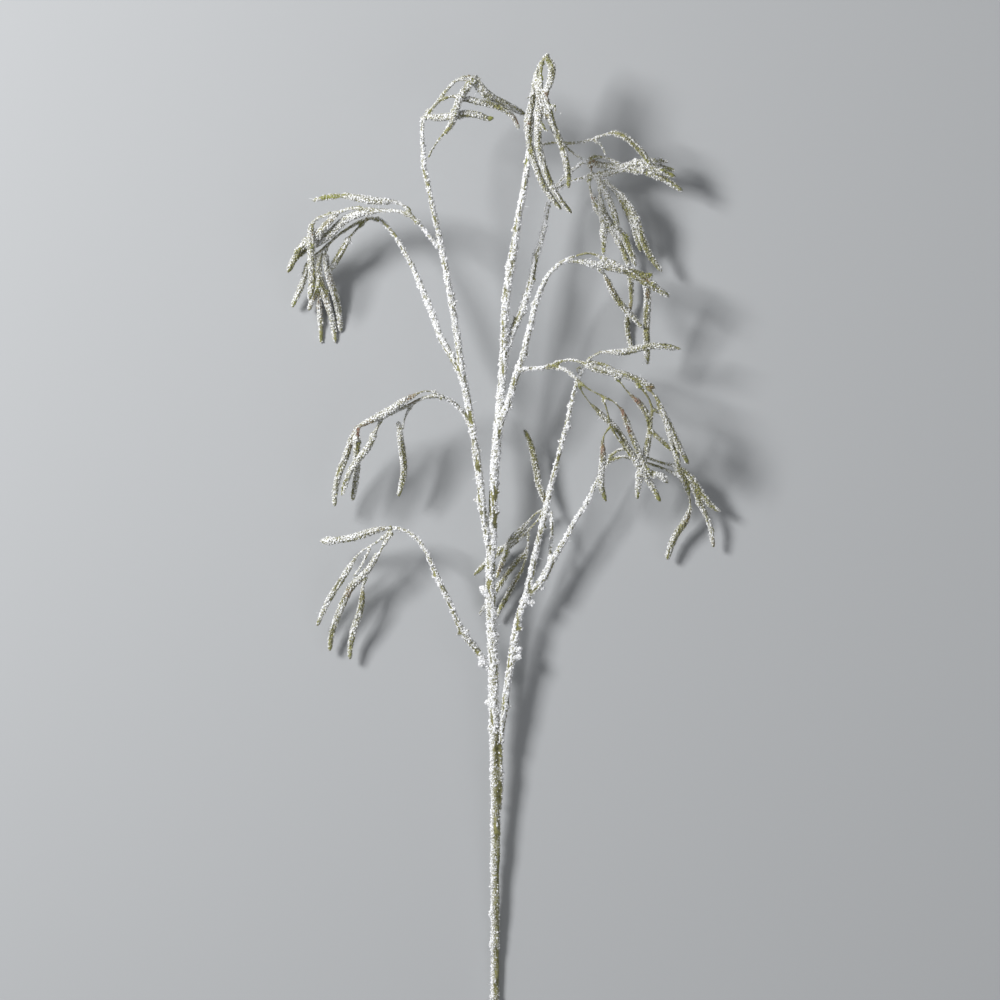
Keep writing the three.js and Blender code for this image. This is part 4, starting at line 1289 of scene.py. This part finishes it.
RIGHT_HIGH_PATCHES = patches(
    snow=[(110, 306, 5, 0.4), (117, 298, 5, 0.4)],
    bare=[
        (165, 371, 6, 0.5), (103, 313, 3, 0.5), (142, 366.6, 3, 0.5), (147, 372, 2.5, 0.5),
        (152, 365, 3, 0.5), (160, 361, 3, 0.5), (119, 337, 4, 0.4), (128, 250, 6, 0.4),
        (150, 281, 6, 0.5), (155, 273, 5, 0.5),
    ],
    clump=[(94.2, 313.5, 2, 0.8)],
    blush=[(88, 343, 4), (88, 372, 3)],
)

RIGHT_UPPER_PATCHES = patches(
    snow=[(84, 276.5, 7, 0.5), (94, 275, 7, 0.5)],
    bare=[
        (76, 283, 6, 0.5), (86, 286, 5, 0.4), (113, 244, 4, 0.6), (117, 238, 4, 0.5),
        (144, 246, 6, 0.5), (143.5, 228, 6, 0.4), (142, 264, 4, 0.5),
    ],
    clump=[(147.8, 261, 2, 0.8), (158.8, 254.5, 2, 0.8)],
    blush=[(144, 246, 6, 0.5)],
)

RIGHT_FORK_PATCHES = patches(bare=[(96, 176.5, 5, 0.6), (175, 191, 3, 0.6)])

RIGHT_LOW_BUNCH_PATCHES = patches(
    bare=[(178, 67, 5, 0.5), (186.3, 44, 4, 0.6), (195, 47, 4, 0.4), (177, 15, 5, 0.4)],
    blush=[(210, -2, 5, 0.7)],
)

BACK_PATCHES = patches(
    bare=[(20, 8, 6, 0.5), (5, -30, 9, 0.4), (-3, -60, 8, 0.4), (-24, -30, 5, 0.5)],
    blush=[(-3, -30, 5, 0.7)],
)

BUNCHES = (
    Bunch("catkins_apex", HEAVY_COAT, APEX_PATCHES, carrier=STEM),
    Bunch("catkins_crown_left", HEAVY_COAT, CROWN_LEFT_PATCHES, carrier="limb_left_high"),
    Bunch("catkins_left_high", CATKIN_COAT, LEFT_OUTER_PATCHES, carrier="limb_left_high"),
    Bunch("catkins_left_hanging", CATKIN_COAT, LEFT_HANGING_PATCHES, carrier="limb_left_high"),
    Bunch("catkins_left_middle", HEAVY_COAT, LEFT_MIDDLE_PATCHES, carrier="limb_left_high"),
    Bunch("catkins_left_low", LIGHT_COAT, LEFT_BUNCH_PATCHES, carrier="limb_left_low"),
    Bunch("twig_crown_right", CATKIN_COAT, carrier=STEM, stalk_share=1.0),
    Bunch("catkins_right_high", CATKIN_COAT, RIGHT_HIGH_PATCHES, carrier="limb_right_high"),
    Bunch(
        "catkins_right_upper_middle", CATKIN_COAT, RIGHT_UPPER_PATCHES,
        carrier="limb_right_middle",
    ),
    Bunch(
        "catkins_right_middle", CATKIN_COAT, RIGHT_MIDDLE_PATCHES, carrier="limb_right_middle",
        stalk_share=0.35,
    ),
    Bunch("catkins_right_fork", CATKIN_COAT, RIGHT_FORK_PATCHES, carrier="limb_right_low"),
    Bunch("catkins_right_low", CATKIN_COAT, RIGHT_LOW_BUNCH_PATCHES, carrier="limb_right_low"),
    Bunch("catkins_back", LIGHT_COAT, BACK_PATCHES, carrier="limb_right_low"),
)


# The studio


@dataclass(frozen=True)
class Lamp:
    """A square soft light: where it hangs, how wide it is and how strong."""

    name: str
    place: Place
    size: float
    power: float


@dataclass
class Studio:
    """A pale floor, soft light, and a camera that looks straight down on the branch."""

    centre: Place = (-4.1 * MM, 39.77 * MM, 50 * MM)
    distance: float = 30.0
    span: float = 1.0
    sensor: float = 36.0
    floor_size: float = 24.0
    floor_drop: float = 0.2 * MM
    floor_colour: Colour = (0.44, 0.45, 0.46)
    floor_roughness: float = 0.9
    floor_gloss: float = 0.1
    lamps: tuple[Lamp, ...] = (
        Lamp("key light", (-2.2, 1.2, 2.2), 0.9, 128.0),
        Lamp("fill light", (1.8, -0.8, 2.4), 2.4, 12.0),
    )
    world_colour: Colour = (0.75, 0.77, 0.8)
    world_strength: float = 0.3

    def floor(self) -> None:
        """Lays the floor."""
        bpy.ops.mesh.primitive_plane_add(size=self.floor_size, location=(0, 0, -self.floor_drop))
        floor = bpy.context.object
        floor.name = "studio_floor"
        bpy.ops.object.transform_apply(location=True, rotation=False, scale=False)
        skin = Skin("pale floor")
        skin.finish(self.floor_colour, self.floor_roughness, 0.0, self.floor_gloss)
        floor.data.materials.append(skin.material)

    def hang(self, lamp: Lamp) -> None:
        """Hangs a light and aims it at the branch."""
        bpy.ops.object.light_add(type="AREA", location=lamp.place)
        light = bpy.context.object
        light.name = lamp.name
        light.data.size = lamp.size
        light.data.energy = lamp.power
        toward = Vector(self.centre) - Vector(lamp.place)
        light.rotation_euler = toward.to_track_quat("-Z", "Y").to_euler()

    def light(self) -> None:
        """Hangs the lights and sets the sky."""
        for lamp in self.lamps:
            self.hang(lamp)
        world = bpy.data.worlds.new("studio")
        world.use_nodes = True
        sky = world.node_tree.nodes["Background"]
        sky.inputs["Color"].default_value = (*self.world_colour, 1.0)
        sky.inputs["Strength"].default_value = self.world_strength
        bpy.context.scene.world = world
        bpy.context.scene.view_settings.view_transform = "Standard"

    def camera(self) -> None:
        """Hangs the camera over the branch."""
        x, y, z = self.centre
        bpy.ops.object.camera_add(location=(x, y, z + self.distance), rotation=(0, 0, 0))
        camera = bpy.context.object
        camera.name = "camera"
        camera.data.sensor_width = self.sensor
        camera.data.lens = self.sensor * self.distance / self.span
        bpy.context.scene.camera = camera


def main() -> None:
    """Builds the studio and the branch, node by node."""
    logging.basicConfig(level=logging.INFO, format="%(name)s: %(message)s")
    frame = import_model()
    studio = Studio()
    studio.camera()
    studio.floor()
    studio.light()
    trays = FlockShapes().tray(), FlockThread().tray(), CatkinScale().tray()
    snow = crumb_skin("snow flock", FRESH)
    dust = crumb_skin("dusty flock", DUSTY)
    catkin = coated_skin("flocked catkin", BarkFinish(), FRESH, CATKIN_CLING)
    kit = Kit(
        nodes=frame["nodes"],
        bark=coated_skin("flocked bark", BarkFinish(), FRESH, Cling()),
        catkin=catkin,
        cut=cut_skin("sawn wood", CutFinish(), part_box(STEM)[0]),
        crumbs={
            BARK_SLOT: Scatter("loose flock", trays[0], snow, False),
            CATKIN_SLOT: Scatter("loose flock", trays[0], dust, False),
        },
        threads=Scatter("loose threads", trays[1], snow, False),
        scales=Scatter("catkin scales", trays[2], catkin, True),
    )
    for node in (*WOOD, *BUNCHES):
        node.fit(node.dress(frame["nodes"][node.name], kit))
    for tray in trays:
        tray.clear()


if __name__ == "__main__":
    main()
